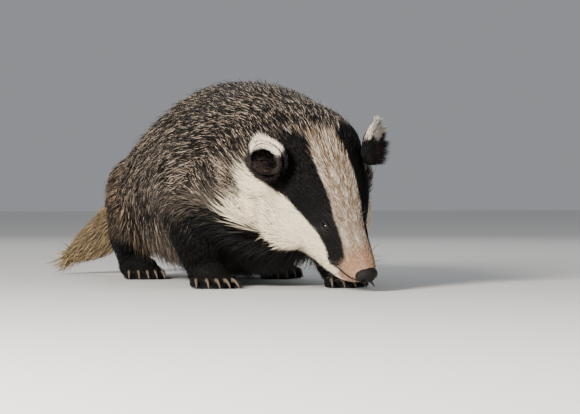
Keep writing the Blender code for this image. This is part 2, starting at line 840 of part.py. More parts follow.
def lids(mirror):
    """A ring of skin round the opening of the eye, longer than it is high."""
    out = HEAD_AXES @ Vector((-mirror * EYE_LOOK.x, EYE_LOOK.y, EYE_LOOK.z))
    along = HEAD_AXES.col[1]
    along = (along - out * out.dot(along)).normalized()
    up = out.cross(along)
    centre = eye_place(mirror) + out * LID_LEVEL
    rings = []
    for i in range(LID_STEPS):
        angle = 2 * math.pi * i / LID_STEPS
        way = along * math.cos(angle) * LID_HALF_LENGTH + up * math.sin(angle) * LID_HALF_HEIGHT
        side = way.normalized()
        rings.append(oval(centre + way, side, out, LID_RADIUS, LID_RADIUS, LID_RADIUS, LID_SIDES))
    return closed_tube("lid", rings)


def part_flesh(body):
    """Cuts the nodes with short fur off the body, and tells what the coat's locks must stay clear of."""
    jaw = block((-0.05, 0.0, -0.06), (0.05, MOUTH_LENGTH, 0.0), mouth_axes(), head_point(MOUTH_FRONT))
    neck_axes = HEAD_AXES @ Matrix.Rotation(NECK_CUT_TILT, 3, "X")
    head = block((-0.13, -0.20, -0.056), (0.13, 0.0, 0.12), neck_axes, head_point((0, NECK_CUT, 0)))
    shares = [("jaw", jaw, "white"), ("head", head, "white")]
    shares += [(f"{leg[0]}paw_{leg[1]}", paw_share(leg), "black") for leg in legs()]
    shares += [(f"{leg[0]}leg_{leg[1]}", leg_share(leg), "black") for leg in legs()]
    nodes = [(part_off(body, name, share), colour) for name, share, colour in shares]
    return nodes, [share for name, share, colour in shares[1:]]


def part_coat(body):
    """Cuts the body with its locks into tail, neck and torso."""
    tail = block((-0.3, 0.0, -0.3), (0.3, 0.3, 0.3), TAIL_CUT_AXES, TAIL_CUT_PLACE)
    neck = block((-0.3, -0.6, 0.0), (0.3, TORSO_CUT_Y, 0.5))
    nodes = [(part_off(body, "tail", tail), "tail"), (part_off(body, "neck", neck), "coat")]
    return nodes + [(body, "coat")]


def painted(made, colour):
    material = bpy.data.materials.get(colour) or bpy.data.materials.new(colour)
    rgba, roughness = COLOURS[colour]
    material.use_nodes = True
    shader = material.node_tree.nodes["Principled BSDF"]
    shader.inputs["Base Color"].default_value = rgba
    shader.inputs["Roughness"].default_value = roughness
    shader.inputs["Metallic"].default_value = 0.0
    made.data.materials.clear()
    made.data.materials.append(material)
    made.data.shade_smooth()
    made.data.set_sharp_from_angle(angle=math.radians(50))


def centred(nodes):
    """Moves every node so that the middle of the whole stands over the origin."""
    points = [v.co for made, colour in nodes for v in made.data.vertices]
    middle_x = (min(p.x for p in points) + max(p.x for p in points)) / 2
    middle_y = (min(p.y for p in points) + max(p.y for p in points)) / 2
    for made, colour in nodes:
        made.data.transform(Matrix.Translation((-middle_x, -middle_y, 0)))


def main():
    for old in list(bpy.data.objects):
        bpy.data.objects.remove(old)
    body = whole_body()
    tree = surface_tree(body)
    nodes = [(nose_pad("nose"), "nose")]
    for side, mirror in (("right", 1), ("left", -1)):
        nodes.append((ear_cup(f"ear_{side}", mirror, body), "black"))
        nodes.append((eye_ball(f"eye_{side}", mirror), "eye"))
    grown = [claw for leg in legs() for claw in claws(leg)] + lips(tree) + [lids(1), lids(-1)]
    combined(body, grown, "UNION")
    sockets = [eye_ball("socket", 1, GAP), eye_ball("socket", -1, GAP), nose_pad("socket", GAP)]
    combined(body, sockets, "DIFFERENCE")
    flesh, shares = part_flesh(keep_largest(body))
    locks = torso_locks(tree) + neck_locks(tree) + tail_locks(tree)
    combined(body, locks, "UNION")
    for share in shares:
        combined(body, [share(LOCK_GAP)], "DIFFERENCE")
    nodes += flesh + part_coat(keep_largest(body))
    for made, colour in nodes:
        painted(drawn_apart(triangulated(made)), colour)
    centred(nodes)


main()
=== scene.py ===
import itertools
import math

import bmesh
import bpy
import numpy as np
from mathutils import Matrix, Vector
from mathutils.bvhtree import BVHTree
from mathutils.kdtree import KDTree


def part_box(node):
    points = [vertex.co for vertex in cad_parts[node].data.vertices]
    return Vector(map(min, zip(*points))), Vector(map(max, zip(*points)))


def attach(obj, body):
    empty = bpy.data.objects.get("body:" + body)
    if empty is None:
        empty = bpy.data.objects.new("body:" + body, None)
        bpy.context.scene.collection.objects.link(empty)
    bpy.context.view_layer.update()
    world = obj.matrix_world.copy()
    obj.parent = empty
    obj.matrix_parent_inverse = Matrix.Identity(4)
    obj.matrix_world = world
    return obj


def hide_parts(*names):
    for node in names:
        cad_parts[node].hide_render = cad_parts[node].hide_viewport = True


SEED = 7
ACROSS = Vector((1, 0, 0))
ALONG = Vector((0, 1, 0))
UP = Vector((0, 0, 1))

# The animal's forms, in the same named values as its solids.
NOSE_TIP = Vector((0.0657, -0.3598, 0.0151))
HEAD_AXES = (
    Matrix.Rotation(math.radians(22), 3, "Z")
    @ Matrix.Rotation(math.radians(49.5), 3, "X")
    @ Matrix.Rotation(math.radians(-13.5), 3, "Y")
)
HEAD_SECTIONS = (
    (0.006, 0.0135, 0.0085, -0.0165),
    (0.018, 0.0190, 0.0120, -0.0300),
    (0.034, 0.0230, 0.0155, -0.0415),
    (0.052, 0.0265, 0.0200, -0.0500),
    (0.071, 0.0330, 0.0285, -0.0560),
    (0.087, 0.0420, 0.0380, -0.0615),
    (0.105, 0.0510, 0.0455, -0.0665),
    (0.125, 0.0590, 0.0500, -0.0700),
    (0.145, 0.0600, 0.0500, -0.0715),
    (0.165, 0.0560, 0.0450, -0.0670),
    (0.183, 0.0400, 0.0330, -0.0480),
)
HEAD_ROUNDNESS = 2.6
CHEEK_PLACE = Vector((0.0400, 0.1260, -0.0330))
CHEEK_HALF = Vector((0.0270, 0.0460, 0.0300))
EYE_PLACE = Vector((0.0258, 0.0720, 0.0104))
EYE_LOOK = Vector((0.86, -0.30, 0.42)).normalized()
EYE_RADIUS = 0.0064
EYE_SET = Vector((0.0, 0.0020, -0.0030))
EYE_SUNK = 0.0046
EAR_PLACE = Vector((0.0625, 0.1550, 0.0360))
EAR_TIP_WAY = Vector((0.38, 0.60, 0.70)).normalized()
EAR_OPEN_WAY = Vector((0.62, -0.70, 0.10))
EAR_HALF = Vector((0.0205, 0.0092, 0.0235))
NOSE_PAD_HALF = Vector((0.0135, 0.0085, 0.0100))
NOSE_PAD_PLACE = Vector((0.0, 0.0075, -0.0030))
NOSTRIL_PLACE = (0.0058, -0.0010)
TORSO_SECTIONS = (
    (-0.230, 0.092, 0.222, 0.042, 2.00),
    (-0.170, 0.114, 0.238, 0.034, 2.00),
    (-0.090, 0.121, 0.246, 0.034, 2.00),
    (0.000, 0.121, 0.248, 0.032, 1.95),
    (0.090, 0.127, 0.232, 0.033, 1.80),
    (0.170, 0.126, 0.199, 0.038, 1.70),
    (0.230, 0.111, 0.171, 0.046, 1.75),
    (0.280, 0.085, 0.146, 0.058, 1.85),
    (0.310, 0.052, 0.132, 0.076, 2.00),
    (0.325, 0.025, 0.123, 0.093, 2.00),
)
WIDEST_LEVEL = 0.40
NECK_SECTIONS = (
    (0.00, 0.060, 0.050, 0.074),
    (0.25, 0.073, 0.062, 0.088),
    (0.50, 0.087, 0.074, 0.098),
    (0.75, 0.099, 0.086, 0.102),
    (1.00, 0.108, 0.096, 0.100),
)
THROAT_ROUNDNESS = 2.6
NECK_START = Vector((0.0, 0.153, 0.002))
NECK_END = Vector((0.0, -0.150, 0.140))
FORELEG_PATH = (
    (-0.076, -0.150, 0.130),
    (-0.086, -0.125, 0.090),
    (-0.080, -0.150, 0.052),
    (-0.078, -0.168, 0.028),
)
FORELEG_RADII = (0.050, 0.040, 0.029, 0.024)
HINDLEG_PATH = (
    (-0.070, 0.168, 0.108),
    (-0.094, 0.142, 0.085),
    (-0.090, 0.190, 0.050),
    (-0.086, 0.195, 0.026),
)
HINDLEG_RADII = (0.052, 0.042, 0.028, 0.021)
FOREPAW_LENGTH = 0.050
HINDPAW_LENGTH = 0.078
PAW_HALF_WIDTH = 0.023
TOE_RADIUS = 0.0072
FORECLAW_LENGTH = 0.024
HINDCLAW_LENGTH = 0.014
LEG_ROOT_HEIGHT = 0.130
LEFT_FORE_STEP = -0.020
LEFT_HIND_STEP = -0.035
TAIL_PATH = (
    (0.000, 0.285, 0.126),
    (-0.034, 0.319, 0.102),
    (-0.074, 0.337, 0.070),
    (-0.102, 0.345, 0.046),
    (-0.126, 0.349, 0.031),
)
TAIL_RADII = (0.030, 0.031, 0.032, 0.028, 0.020)
TOES = 5
TOE_ARC = 0.010
TOE_HEIGHT = 0.0075
PAD_HEIGHT = 0.014
CLAW_RADIUS = 0.0030
CLAW_TIP_HEIGHT = 0.0016
MOUTH_FRONT = Vector((0.0, 0.010, -0.0105))
MOUTH_SLOPE = math.radians(-12)

# How deep the skin lies under the tips of the coat.
BODY_DEPTH = 0.0125
FACE_DEPTH = 0.0014
CHEEK_DEPTH = 0.0050
LEG_DEPTH = 0.0035
PAW_DEPTH = 0.0015
TOE_DEPTH = 0.0004
TAIL_DEPTH = 0.0130
SKIN_VOXEL = 0.0030
SKIN_SMOOTHINGS = 8
SOLE_LEVEL = 0.0006
RING_POINTS = 32

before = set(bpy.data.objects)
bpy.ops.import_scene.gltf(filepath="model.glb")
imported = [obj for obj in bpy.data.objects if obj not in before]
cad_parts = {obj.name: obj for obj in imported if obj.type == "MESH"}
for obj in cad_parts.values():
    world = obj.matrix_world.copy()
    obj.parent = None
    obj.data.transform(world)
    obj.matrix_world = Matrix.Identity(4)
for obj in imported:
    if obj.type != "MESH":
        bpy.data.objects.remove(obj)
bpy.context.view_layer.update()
dice = np.random.default_rng(SEED)


def head_point(place):
    return NOSE_TIP + HEAD_AXES @ Vector(place)


def sided(place, mirror):
    """A place or way given for the animal's left: on its right where mirror is 1, left where it is -1."""
    return Vector((-mirror * place.x, place.y, place.z))


EYE_IN_FRAME = (Vector(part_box("eye_right")[0]) + Vector(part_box("eye_right")[1])) / 2
SHIFT = EYE_IN_FRAME - head_point(sided(EYE_PLACE, 1))


def linked(name, data):
    made = bpy.data.objects.new(name, data)
    bpy.context.scene.collection.objects.link(made)
    return made


def mesh_object(name, points, faces):
    mesh = bpy.data.meshes.new(name)
    mesh.from_pydata([tuple(p) for p in points], [], faces)
    shape = bmesh.new()
    shape.from_mesh(mesh)
    bmesh.ops.recalc_face_normals(shape, faces=shape.faces)
    shape.to_mesh(mesh)
    shape.free()
    return linked(name, mesh)


def oval(centre, side, up, half_width, rise, drop, count=RING_POINTS, above=2.0, below=2.0):
    points = []
    for i in range(count):
        angle = 2 * math.pi * i / count
        across = math.cos(angle)
        height = math.sin(angle)
        power = 2 / (above if height > 0 else below)
        across = math.copysign(abs(across) ** power, across)
        height = math.copysign(abs(height) ** power, height) * (rise if height > 0 else drop)
        points.append(centre + side * half_width * across + up * height)
    return points


def loft(name, rings, loop=False):
    """A tube through rings, closed at its ends or round to its first ring again."""
    count = len(rings[0])
    points = [p for ring in rings for p in ring]
    faces = []
    for r in range(len(rings) if loop else len(rings) - 1):
        low, high = r * count, (r + 1) % len(rings) * count
        for i in range(count):
            j = (i + 1) % count
            faces.append((low + i, low + j, high + j, high + i))
    if not loop:
        faces.append(tuple(reversed(range(count))))
        faces.append(tuple((len(rings) - 1) * count + i for i in range(count)))
    return mesh_object(name, points, faces)


def limb(name, path, radii, count=RING_POINTS):
    path = [Vector(p) for p in path]
    rings = []
    side = Vector((1, 0, 0.01))
    for k, centre in enumerate(path):
        ahead = (path[min(k + 1, len(path) - 1)] - path[max(k - 1, 0)]).normalized()
        side = (side - ahead * ahead.dot(side)).normalized()
        up = side.cross(ahead)
        radius = radii[k]
        end = radius * 0.6
        if k == 0:
            rings.append(oval(centre - ahead * radius * 0.7, side, up, end, end, end, count))
        rings.append(oval(centre, side, up, radius, radius, radius, count))
        if k == len(path) - 1:
            rings.append(oval(centre + ahead * radius * 0.7, side, up, end, end, end, count))
    return loft(name, rings)


def blob(name, centre, radii, axes=Matrix.Identity(3), fineness=3):
    shape = bmesh.new()
    bmesh.ops.create_icosphere(shape, subdivisions=fineness, radius=1.0)
    place = Matrix.Translation(centre) @ axes.to_4x4() @ Matrix.Diagonal((*radii, 1.0))
    bmesh.ops.transform(shape, matrix=place, verts=shape.verts)
    mesh = bpy.data.meshes.new(name)
    shape.to_mesh(mesh)
    shape.free()
    return linked(name, mesh)


def joined(name, pieces):
    for other in bpy.context.selected_objects:
        other.select_set(False)
    for piece in pieces:
        piece.select_set(True)
    bpy.context.view_layer.objects.active = pieces[0]
    bpy.ops.object.join()
    pieces[0].name = name
    pieces[0].select_set(False)
    return pieces[0]


def applied(made):
    depsgraph = bpy.context.evaluated_depsgraph_get()
    made.data = bpy.data.meshes.new_from_object(made.evaluated_get(depsgraph))
    made.modifiers.clear()
    return made


def neck_frame(t):
    start = head_point(NECK_START)
    reach = (NECK_END - start).length / 3
    first = start + HEAD_AXES.col[1] * reach
    second = NECK_END - ALONG * reach
    s = 1 - t
    middle = start * s**3 + first * 3 * s * s * t + second * 3 * s * t * t + NECK_END * t**3
    axes = HEAD_AXES.to_quaternion().slerp(Matrix.Identity(3).to_quaternion(), t).to_matrix()
    return middle, axes


def head_form():
    rings = []
    for back, half_width, top, bottom in HEAD_SECTIONS:
        depth = FACE_DEPTH + (CHEEK_DEPTH - FACE_DEPTH) * min(1.0, max(0.0, (back - 0.04) / 0.10))
        middle, half = (top + bottom) / 2, (top - bottom) / 2 - depth
        centre = head_point((0, back + FACE_DEPTH, middle))
        side, up = HEAD_AXES.col[0], HEAD_AXES.col[2]
        rings.append(oval(centre, side, up, half_width - depth, half, half, below=HEAD_ROUNDNESS))
    return loft("head_form", rings)


def neck_form():
    rings = []
    for t, half_width, rise, drop in NECK_SECTIONS:
        middle, axes = neck_frame(t)
        sink = CHEEK_DEPTH + (BODY_DEPTH - CHEEK_DEPTH) * t
        size = (half_width - sink, rise - sink, drop - sink)
        rings.append(oval(middle, axes.col[0], axes.col[2], *size, below=THROAT_ROUNDNESS))
    return loft("neck_form", rings)


def torso_form():
    rings = []
    for y, half_width, top, bottom, roundness in TORSO_SECTIONS:
        widest = bottom + (top - bottom) * WIDEST_LEVEL
        rise, drop = top - widest - BODY_DEPTH, widest - bottom - BODY_DEPTH
        centre = Vector((0, y, widest))
        rings.append(oval(centre, ACROSS, UP, half_width - BODY_DEPTH, rise, drop, above=roundness))
    return loft("torso_form", rings)


def stepped(path, mirror, ahead):
    return [Vector((mirror * x, y + ahead * (LEG_ROOT_HEIGHT - z) / LEG_ROOT_HEIGHT, z)) for x, y, z in path]


def legs():
    """Each leg as (path, radii, paw length, claw length)."""
    found = []
    for mirror, fore_step, hind_step in ((1, 0.0, 0.0), (-1, LEFT_FORE_STEP, LEFT_HIND_STEP)):
        fore = stepped(FORELEG_PATH, mirror, fore_step)
        hind = stepped(HINDLEG_PATH, mirror, hind_step)
        found.append((fore, FORELEG_RADII, FOREPAW_LENGTH, FORECLAW_LENGTH))
        found.append((hind, HINDLEG_RADII, HINDPAW_LENGTH, HINDCLAW_LENGTH))
    return found


def toe_places(heel, length):
    for i in range(TOES):
        across = (i - (TOES - 1) / 2) / ((TOES - 1) / 2)
        x = heel[0] + across * (PAW_HALF_WIDTH - TOE_RADIUS * 0.6)
        y = heel[1] - length + TOE_ARC * across * across
        yield Vector((x, y, TOE_HEIGHT)), across


def paw_forms(path, length):
    heel = path[-1]
    pad_middle = Vector((heel[0], heel[1] - length * 0.42, PAD_HEIGHT))
    size = (PAW_HALF_WIDTH - PAW_DEPTH, length * 0.62 - PAW_DEPTH, PAD_HEIGHT * 1.10)
    forms = [blob("pad", pad_middle, size)]
    toe_size = (TOE_RADIUS - TOE_DEPTH, TOE_RADIUS * 1.85, TOE_RADIUS * 1.10)
    for place, across in toe_places(heel, length):
        forms.append(blob("toe", place, toe_size))
    return forms


def skin_forms():
    forms = [torso_form(), neck_form(), head_form()]
    cheek_size = CHEEK_HALF - Vector((1, 1, 1)) * CHEEK_DEPTH
    for mirror in (-1, 1):
        forms.append(blob("cheek_form", head_point(sided(CHEEK_PLACE, mirror)), cheek_size, HEAD_AXES))
    for path, radii, length, claw_length in legs():
        forms.append(limb("leg_form", path, [r - LEG_DEPTH for r in radii]))
        forms.extend(paw_forms(path, length))
    forms.append(limb("tail_form", TAIL_PATH, [r - TAIL_DEPTH for r in TAIL_RADII]))
    return forms


def eye_look(mirror):
    return HEAD_AXES @ sided(EYE_LOOK, mirror)


def eye_place(mirror):
    """The middle of the eyeball, sunk in its socket."""
    return head_point(sided(EYE_PLACE + EYE_SET, mirror)) - eye_look(mirror) * EYE_SUNK


def eye_axes(mirror):
    """The eye's own frame: back along its slit, across it, and out the way it looks."""
    look = eye_look(mirror)
    back = HEAD_AXES.col[1] - look * look.dot(HEAD_AXES.col[1])
    back.normalize()
    return Matrix((back, look.cross(back), look)).transposed()


def values_of(items, key, width, kind=np.float32):
    """One value of each of a mesh's items, as rows of a width."""
    found = np.empty(len(items) * width, kind)
    items.foreach_get(key, found)
    return found.reshape(-1, width)


def vertex_places(made):
    return values_of(made.data.vertices, "co", 3).astype(float)


def set_places(made, points):
    made.data.vertices.foreach_set("co", points.astype(np.float32).ravel())
    made.data.update()


# The skin round the eye, in the eye's own frame.
LID_STRETCH = 1.12
LID_LEVEL = 0.0034
SOCKET_PRESS = 0.0028
SOCKET_BACK = -0.008


def shaped(skin):
    """Raises the skin to the lids, presses the sockets of the eyes in and flattens the soles."""
    points = vertex_places(skin)
    for mirror in (1, -1):
        centre = np.array(eye_place(mirror))
        axes = np.array(eye_axes(mirror))
        local = (points - centre) @ axes
        flat = np.hypot(local[:, 0] / LID_STRETCH, local[:, 1])
        near = local[:, 2] > SOCKET_BACK
        mound = (1 - step(flat, 0.0060, 0.0130)) * near
        local[:, 2] += (LID_LEVEL - local[:, 2]) * mound * 0.9
        local[:, 2] -= SOCKET_PRESS * (1 - step(flat, 0.0030, 0.0055)) * near
        points = local @ axes.T + centre
    points[:, 2] = np.maximum(points[:, 2], SOLE_LEVEL)
    set_places(skin, points)


def whole_skin():
    skin = joined("skin", skin_forms())
    melt = skin.modifiers.new("melt", "REMESH")
    melt.mode = "VOXEL"
    melt.voxel_size = SKIN_VOXEL
    smooth = skin.modifiers.new("smooth", "SMOOTH")
    smooth.iterations = SKIN_SMOOTHINGS
    applied(skin)
    shaped(skin)
    return skin


def surface_tree(made):
    shape = bmesh.new()
    shape.from_mesh(made.data)
    tree = BVHTree.FromBMesh(shape)
    shape.free()
    return tree


# Regions of the coat, and where the axes of the neck, the head and the paws run.
REGIONS = range(6)
TORSO, NECK, HEAD, LEG, PAW, TAIL = REGIONS
NECK_STOPS = (0.12, 0.4, 0.7, 0.92)
HEAD_STOPS = ((0.010, 0.012), (0.062, 0.030), (0.113, 0.052), (0.148, 0.058))
PAW_HEIGHTS = (0.014, 0.010)
PAW_RADII = (0.022, 0.018)
PAW_LIE = Vector((0, -1, -0.25)).normalized()


def stretches(region, path, radii, way=None):
    """The stretches between a path's places; the hair lies one way, or else along each stretch."""
    for (a, ra), (b, rb) in itertools.pairwise(zip(path, radii)):
        yield region, a, b, ra, rb, (b - a).normalized() if way is None else way


def chains():
    """Every stretch of the body's axes as (region, start, end, start radius, end radius, way)."""
    middles, sizes = [], []
    for y, half_width, top, bottom, roundness in TORSO_SECTIONS[1:8]:
        middles.append(Vector((0, y, bottom + (top - bottom) * 0.5)))
        sizes.append((half_width + (top - bottom) / 2) / 2)
    found = list(stretches(TORSO, middles, sizes, ALONG))
    for t, u in itertools.pairwise(NECK_STOPS):
        (a, axes), (b, after) = neck_frame(t), neck_frame(u)
        found.append((NECK, a, b, 0.060 + 0.045 * t, 0.060 + 0.045 * u, axes.col[1].copy()))
    for (ya, ra), (yb, rb) in itertools.pairwise(HEAD_STOPS):
        start, end = head_point((0, ya, -0.004)), head_point((0, yb, -0.008))
        found.append((HEAD, start, end, ra, rb, HEAD_AXES.col[1].copy()))
    for path, radii, length, claw_length in legs():
        found += stretches(LEG, path[1:], radii[1:])
        heel = path[-1]
        ends = [Vector((heel.x, y, z)) for y, z in zip((heel.y, heel.y - length), PAW_HEIGHTS)]
        found += stretches(PAW, ends, PAW_RADII, PAW_LIE)
    found += stretches(TAIL, [Vector(p) for p in TAIL_PATH[1:]], TAIL_RADII[1:])
    return found


def step(value, low, high):
    """From 0 at the low value smoothly to 1 at the high one."""
    x = np.clip((value - low) / (high - low), 0, 1)
    return x * x * (3 - 2 * x)


def bell(value, middle, width):
    return np.exp(-(((value - middle) / width) ** 2))


def unit(vectors):
    return vectors / np.maximum(np.linalg.norm(vectors, axis=-1, keepdims=True), 1e-9)


def mixed(first, second, share):
    return first * (1 - share[:, None]) + second * share[:, None]


def in_head(points):
    """Places in the head's own frame: left of it, back from the nose tip, and up."""
    return (points - np.array(NOSE_TIP)) @ np.array(HEAD_AXES)


def swirl(points, scale, turn):
    """A smooth wandering value from -1 to 1 over the body."""
    a = np.sin(points @ np.array((1.0, 1.7, 0.6)) * scale + turn)
    b = np.sin(points @ np.array((-1.3, 0.7, 1.9)) * scale * 0.8 + 2.1 * turn)
    c = np.sin(points @ np.array((0.4, -1.1, 1.3)) * scale * 1.7 + 0.7 * turn)
    return (a + b + 0.7 * c) / 2.7


CHAINS = chains()
FAR_AWAY = 9.0
REGION_SHARPNESS = 9.0


def region_shares(points):
    """For each point the share of each region, and the way of each region's nearest stretch."""
    nearest = np.full((len(points), len(REGIONS)), FAR_AWAY)
    ways = np.zeros((len(points), len(REGIONS), 3))
    for region, a, b, ra, rb, way in CHAINS:
        start, span = np.array(a), np.array(b - a)
        t = np.clip((points - start) @ span / (span @ span), 0, 1)
        away = np.linalg.norm(points - start - t[:, None] * span, axis=1) / (ra + (rb - ra) * t)
        closer = away < nearest[:, region]
        nearest[closer, region] = away[closer]
        ways[closer, region] = np.array(way)
    shares = np.exp(-REGION_SHARPNESS * (nearest - nearest.min(axis=1, keepdims=True)))
    shares /= shares.sum(axis=1, keepdims=True)
    return shares, ways


BODY_MIDDLE = 0.115
FLANK_LIE = math.radians(48)
FLANK_TURN = math.radians(115)
HANG = 0.20


def lie_of(points, shares, ways):
    """The way the hair lies at each point, before it is laid along the skin."""
    angle = np.arctan2(points[:, 0], points[:, 2] - BODY_MIDDLE)
    lie = FLANK_LIE * np.clip(np.abs(angle) / FLANK_TURN, 0, 1.0)
    down = np.stack((np.cos(angle), np.zeros_like(angle), -np.sin(angle)), axis=1)
    down = down * np.sign(angle)[:, None]
    ways = ways.copy()
    ways[:, TORSO] = np.array(ALONG) * np.cos(lie)[:, None] + down * np.sin(lie)[:, None]
    ways[:, TORSO, 2] -= HANG
    ways[:, NECK, 2] -= HANG + 0.35 * (1 - step(points[:, 2], 0.05, 0.10))
    local = in_head(points)
    spread = np.clip(local[:, 0] / 0.05, -1, 1) * (0.10 + 0.25 * step(local[:, 1], 0.04, 0.09))
    drop = -0.06 - 0.12 * step(-local[:, 2], -0.01, 0.05)
    head = np.stack((spread, np.ones_like(spread), drop), axis=1) @ np.array(HEAD_AXES).T
    ways[:, HEAD] = head
    way = (ways * shares[:, :, None]).sum(axis=1)
    near = (1 - step(local[:, 1], 0.190, 0.240)) * step(local[:, 2], -0.105, -0.080)
    return mixed(unit(way), unit(head), near)


# The face's markings in the head's own frame: places back from the nose tip, and the value there.
CENTRE_HALF = (
    (0.010, 0.0150),
    (0.032, 0.0173),
    (0.051, 0.0155),
    (0.064, 0.0162),
    (0.079, 0.0179),
    (0.094, 0.0182),
    (0.111, 0.0203),
    (0.131, 0.0203),
    (0.142, 0.0215),
    (0.155, 0.0175),
    (0.170, 0.0190),
    (0.188, 0.0380),
)
BLACK_LOW = (
    (0.028, -0.0100),
    (0.035, -0.0190),
    (0.045, -0.0240),
    (0.059, -0.0100),
    (0.074, -0.0045),
    (0.094, 0.0022),
    (0.119, 0.0060),
    (0.136, 0.0000),
    (0.154, -0.0066),
    (0.175, -0.0080),
    (0.195, -0.0060),
)
CHEEK_LOW = (
    (0.043, -0.0700),
    (0.061, -0.0500),
    (0.083, -0.0540),
    (0.103, -0.0610),
    (0.133, -0.0690),
    (0.145, -0.0695),
    (0.157, -0.0660),
    (0.177, -0.0630),
    (0.195, -0.0560),
)
EDGE_BLUR = 0.0012
# The height where the body turns black, by the place along the body, and the same on the thigh.
BODY_LOW = ((-0.24, 0.104), (-0.08, 0.092), (-0.03, 0.044), (0.30, 0.030))
THIGH_LOW = ((0.05, 0.030), (0.20, 0.068))
CREAM = np.array((0.96, 0.85, 0.64))
WHITE = np.array((0.78, 0.70, 0.59))
FAWN = np.array((0.20, 0.115, 0.060))
PINK = np.array((0.36, 0.190, 0.105))
BLACK = np.array((0.0045, 0.0040, 0.0040))
DARK = np.array((0.012, 0.010, 0.009))
GREY = np.array((0.40, 0.330, 0.265))
BUFF = np.array((0.38, 0.245, 0.145))
TAIL_BUFF = np.array((0.36, 0.265, 0.150))


def along_table(table, value):
    return np.interp(value, [row[0] for row in table], [row[1] for row in table])


def body_markings(points, noise):
    """Grizzled above, black below and on the limbs, with a buff tail."""
    y, z = points[:, 1], points[:, 2]
    brown = step(y, 0.0, 0.22) * step(-z, -0.22, -0.10)
    pale = mixed(GREY, BUFF, np.clip(0.15 + 0.85 * brown, 0, 1))
    low_edge = along_table(BODY_LOW, y) + 0.008 * noise
    black_share = 1 - step(z, low_edge - 0.012, low_edge + 0.014)
    colour = mixed(pale, BLACK * 1.6, black_share)
    band = 1 - 0.9 * black_share
    shares = region_shares(points)[0]
    limb_share = step(np.clip(shares[:, LEG] + shares[:, PAW], 0, 1), 0.35, 0.75)
    thigh = along_table(THIGH_LOW, y)
    limb_share *= 1 - (y > 0.02) * step(z + 0.006 * noise, thigh - 0.008, thigh + 0.010)
    colour = mixed(colour, BLACK * 1.3, limb_share)
    band = band * (1 - limb_share)
    tail = step(shares[:, TAIL], 0.3, 0.8)
    colour = mixed(colour, TAIL_BUFF, tail)
    band = band * (1 - 0.55 * tail)
    # Painted highlights: a few grey hairs among the black of the throat and chest stand in for glints of
    # light on the black hair.
    few = step(noise, 0.7, 1.5) * (1 - step(y, -0.14, -0.04)) * step(z, 0.05, 0.08)
    return mixed(colour, GREY * 0.5, 0.55 * few * (1 - band)), band


def face_colour(x, y, z, noise, streak):
    """A fawn stripe down the middle that turns pink at the nose, black beside it and a white cheek."""
    centre = mixed(FAWN, WHITE * 0.88, np.clip(0.28 + 0.34 * streak + 0.34 * noise, 0, 1))
    muzzle = (1 - step(y, 0.024, 0.046)) * (1 - 0.6 * step(noise, 0.2, 1.2))
    centre = mixed(centre, PINK, 0.8 * muzzle)
    black_low = along_table(BLACK_LOW, y)
    cheek_low = along_table(CHEEK_LOW, y)
    cheek = 1 - step(z, black_low - EDGE_BLUR, black_low + EDGE_BLUR)
    cheek = cheek * step(z, cheek_low - 0.003, cheek_low + 0.003)
    under = step(x, 0.012, 0.022) + (1 - step(y, 0.063, 0.075))
    under = under + step(z, -0.035, -0.025)
    face = mixed(BLACK, CREAM, cheek * np.clip(under, 0, 1))
    half = along_table(CENTRE_HALF, y)
    stripe = (1 - step(x, half - EDGE_BLUR, half + EDGE_BLUR)) * step(z, -0.004, 0.0)
    front = (1 - step(y, 0.027, 0.034)) * step(z, -0.034, -0.022)
    return mixed(face, centre, np.maximum(stripe, front))


def markings(points, noise):
    """Colour of the coat's tips at each point, and how banded it is: 1 is a dark ring under a pale tip."""
    colour, band = body_markings(points, noise)
    local = in_head(points)
    x, y, z = np.abs(local[:, 0]), local[:, 1] + 0.0018 * noise, local[:, 2] + 0.0010 * noise
    streak = step(swirl(local * np.array((1.0, 0.12, 0.3)), 520.0, 1.3), -0.1, 0.8)
    # The white cheek and the fawn stripe end sooner than the black, which ends round the ear.
    end = 0.180 - 0.014 * (1 - step(x, 0.018, 0.034)) - 0.018 * step(-z, 0.015, 0.050)
    cheek_low = along_table(CHEEK_LOW, y)
    head = (1 - step(y, end, end + 0.013)) * step(z, cheek_low - 0.012, cheek_low)
    throat = (1 - step(y, 0.163, 0.198)) * (1 - step(z, cheek_low - 0.008, cheek_low))
    colour = mixed(colour, BLACK * 1.4, throat)
    colour = mixed(colour, face_colour(x, y, z, noise, streak), head)
    return colour, band * (1 - 0.8 * throat) * (1 - head)


# Hair by region: its length, width and height over the skin at the tip, and the tufts per square metre.
HAIR_LENGTH = np.array((0.048, 0.034, 0.0110, 0.0210, 0.0080, 0.054))
HAIR_WIDTH = np.array((0.00125, 0.00120, 0.00080, 0.0011, 0.0009, 0.0016))
HAIR_RISE = np.array((0.0105, 0.0080, 0.0020, 0.0040, 0.0016, 0.0120))
HAIR_DENSITY = np.array((143000, 200000, 600000, 183000, 300000, 200000))


ROOT_TRIES = 1.6
ROOT_SPACING = 0.80


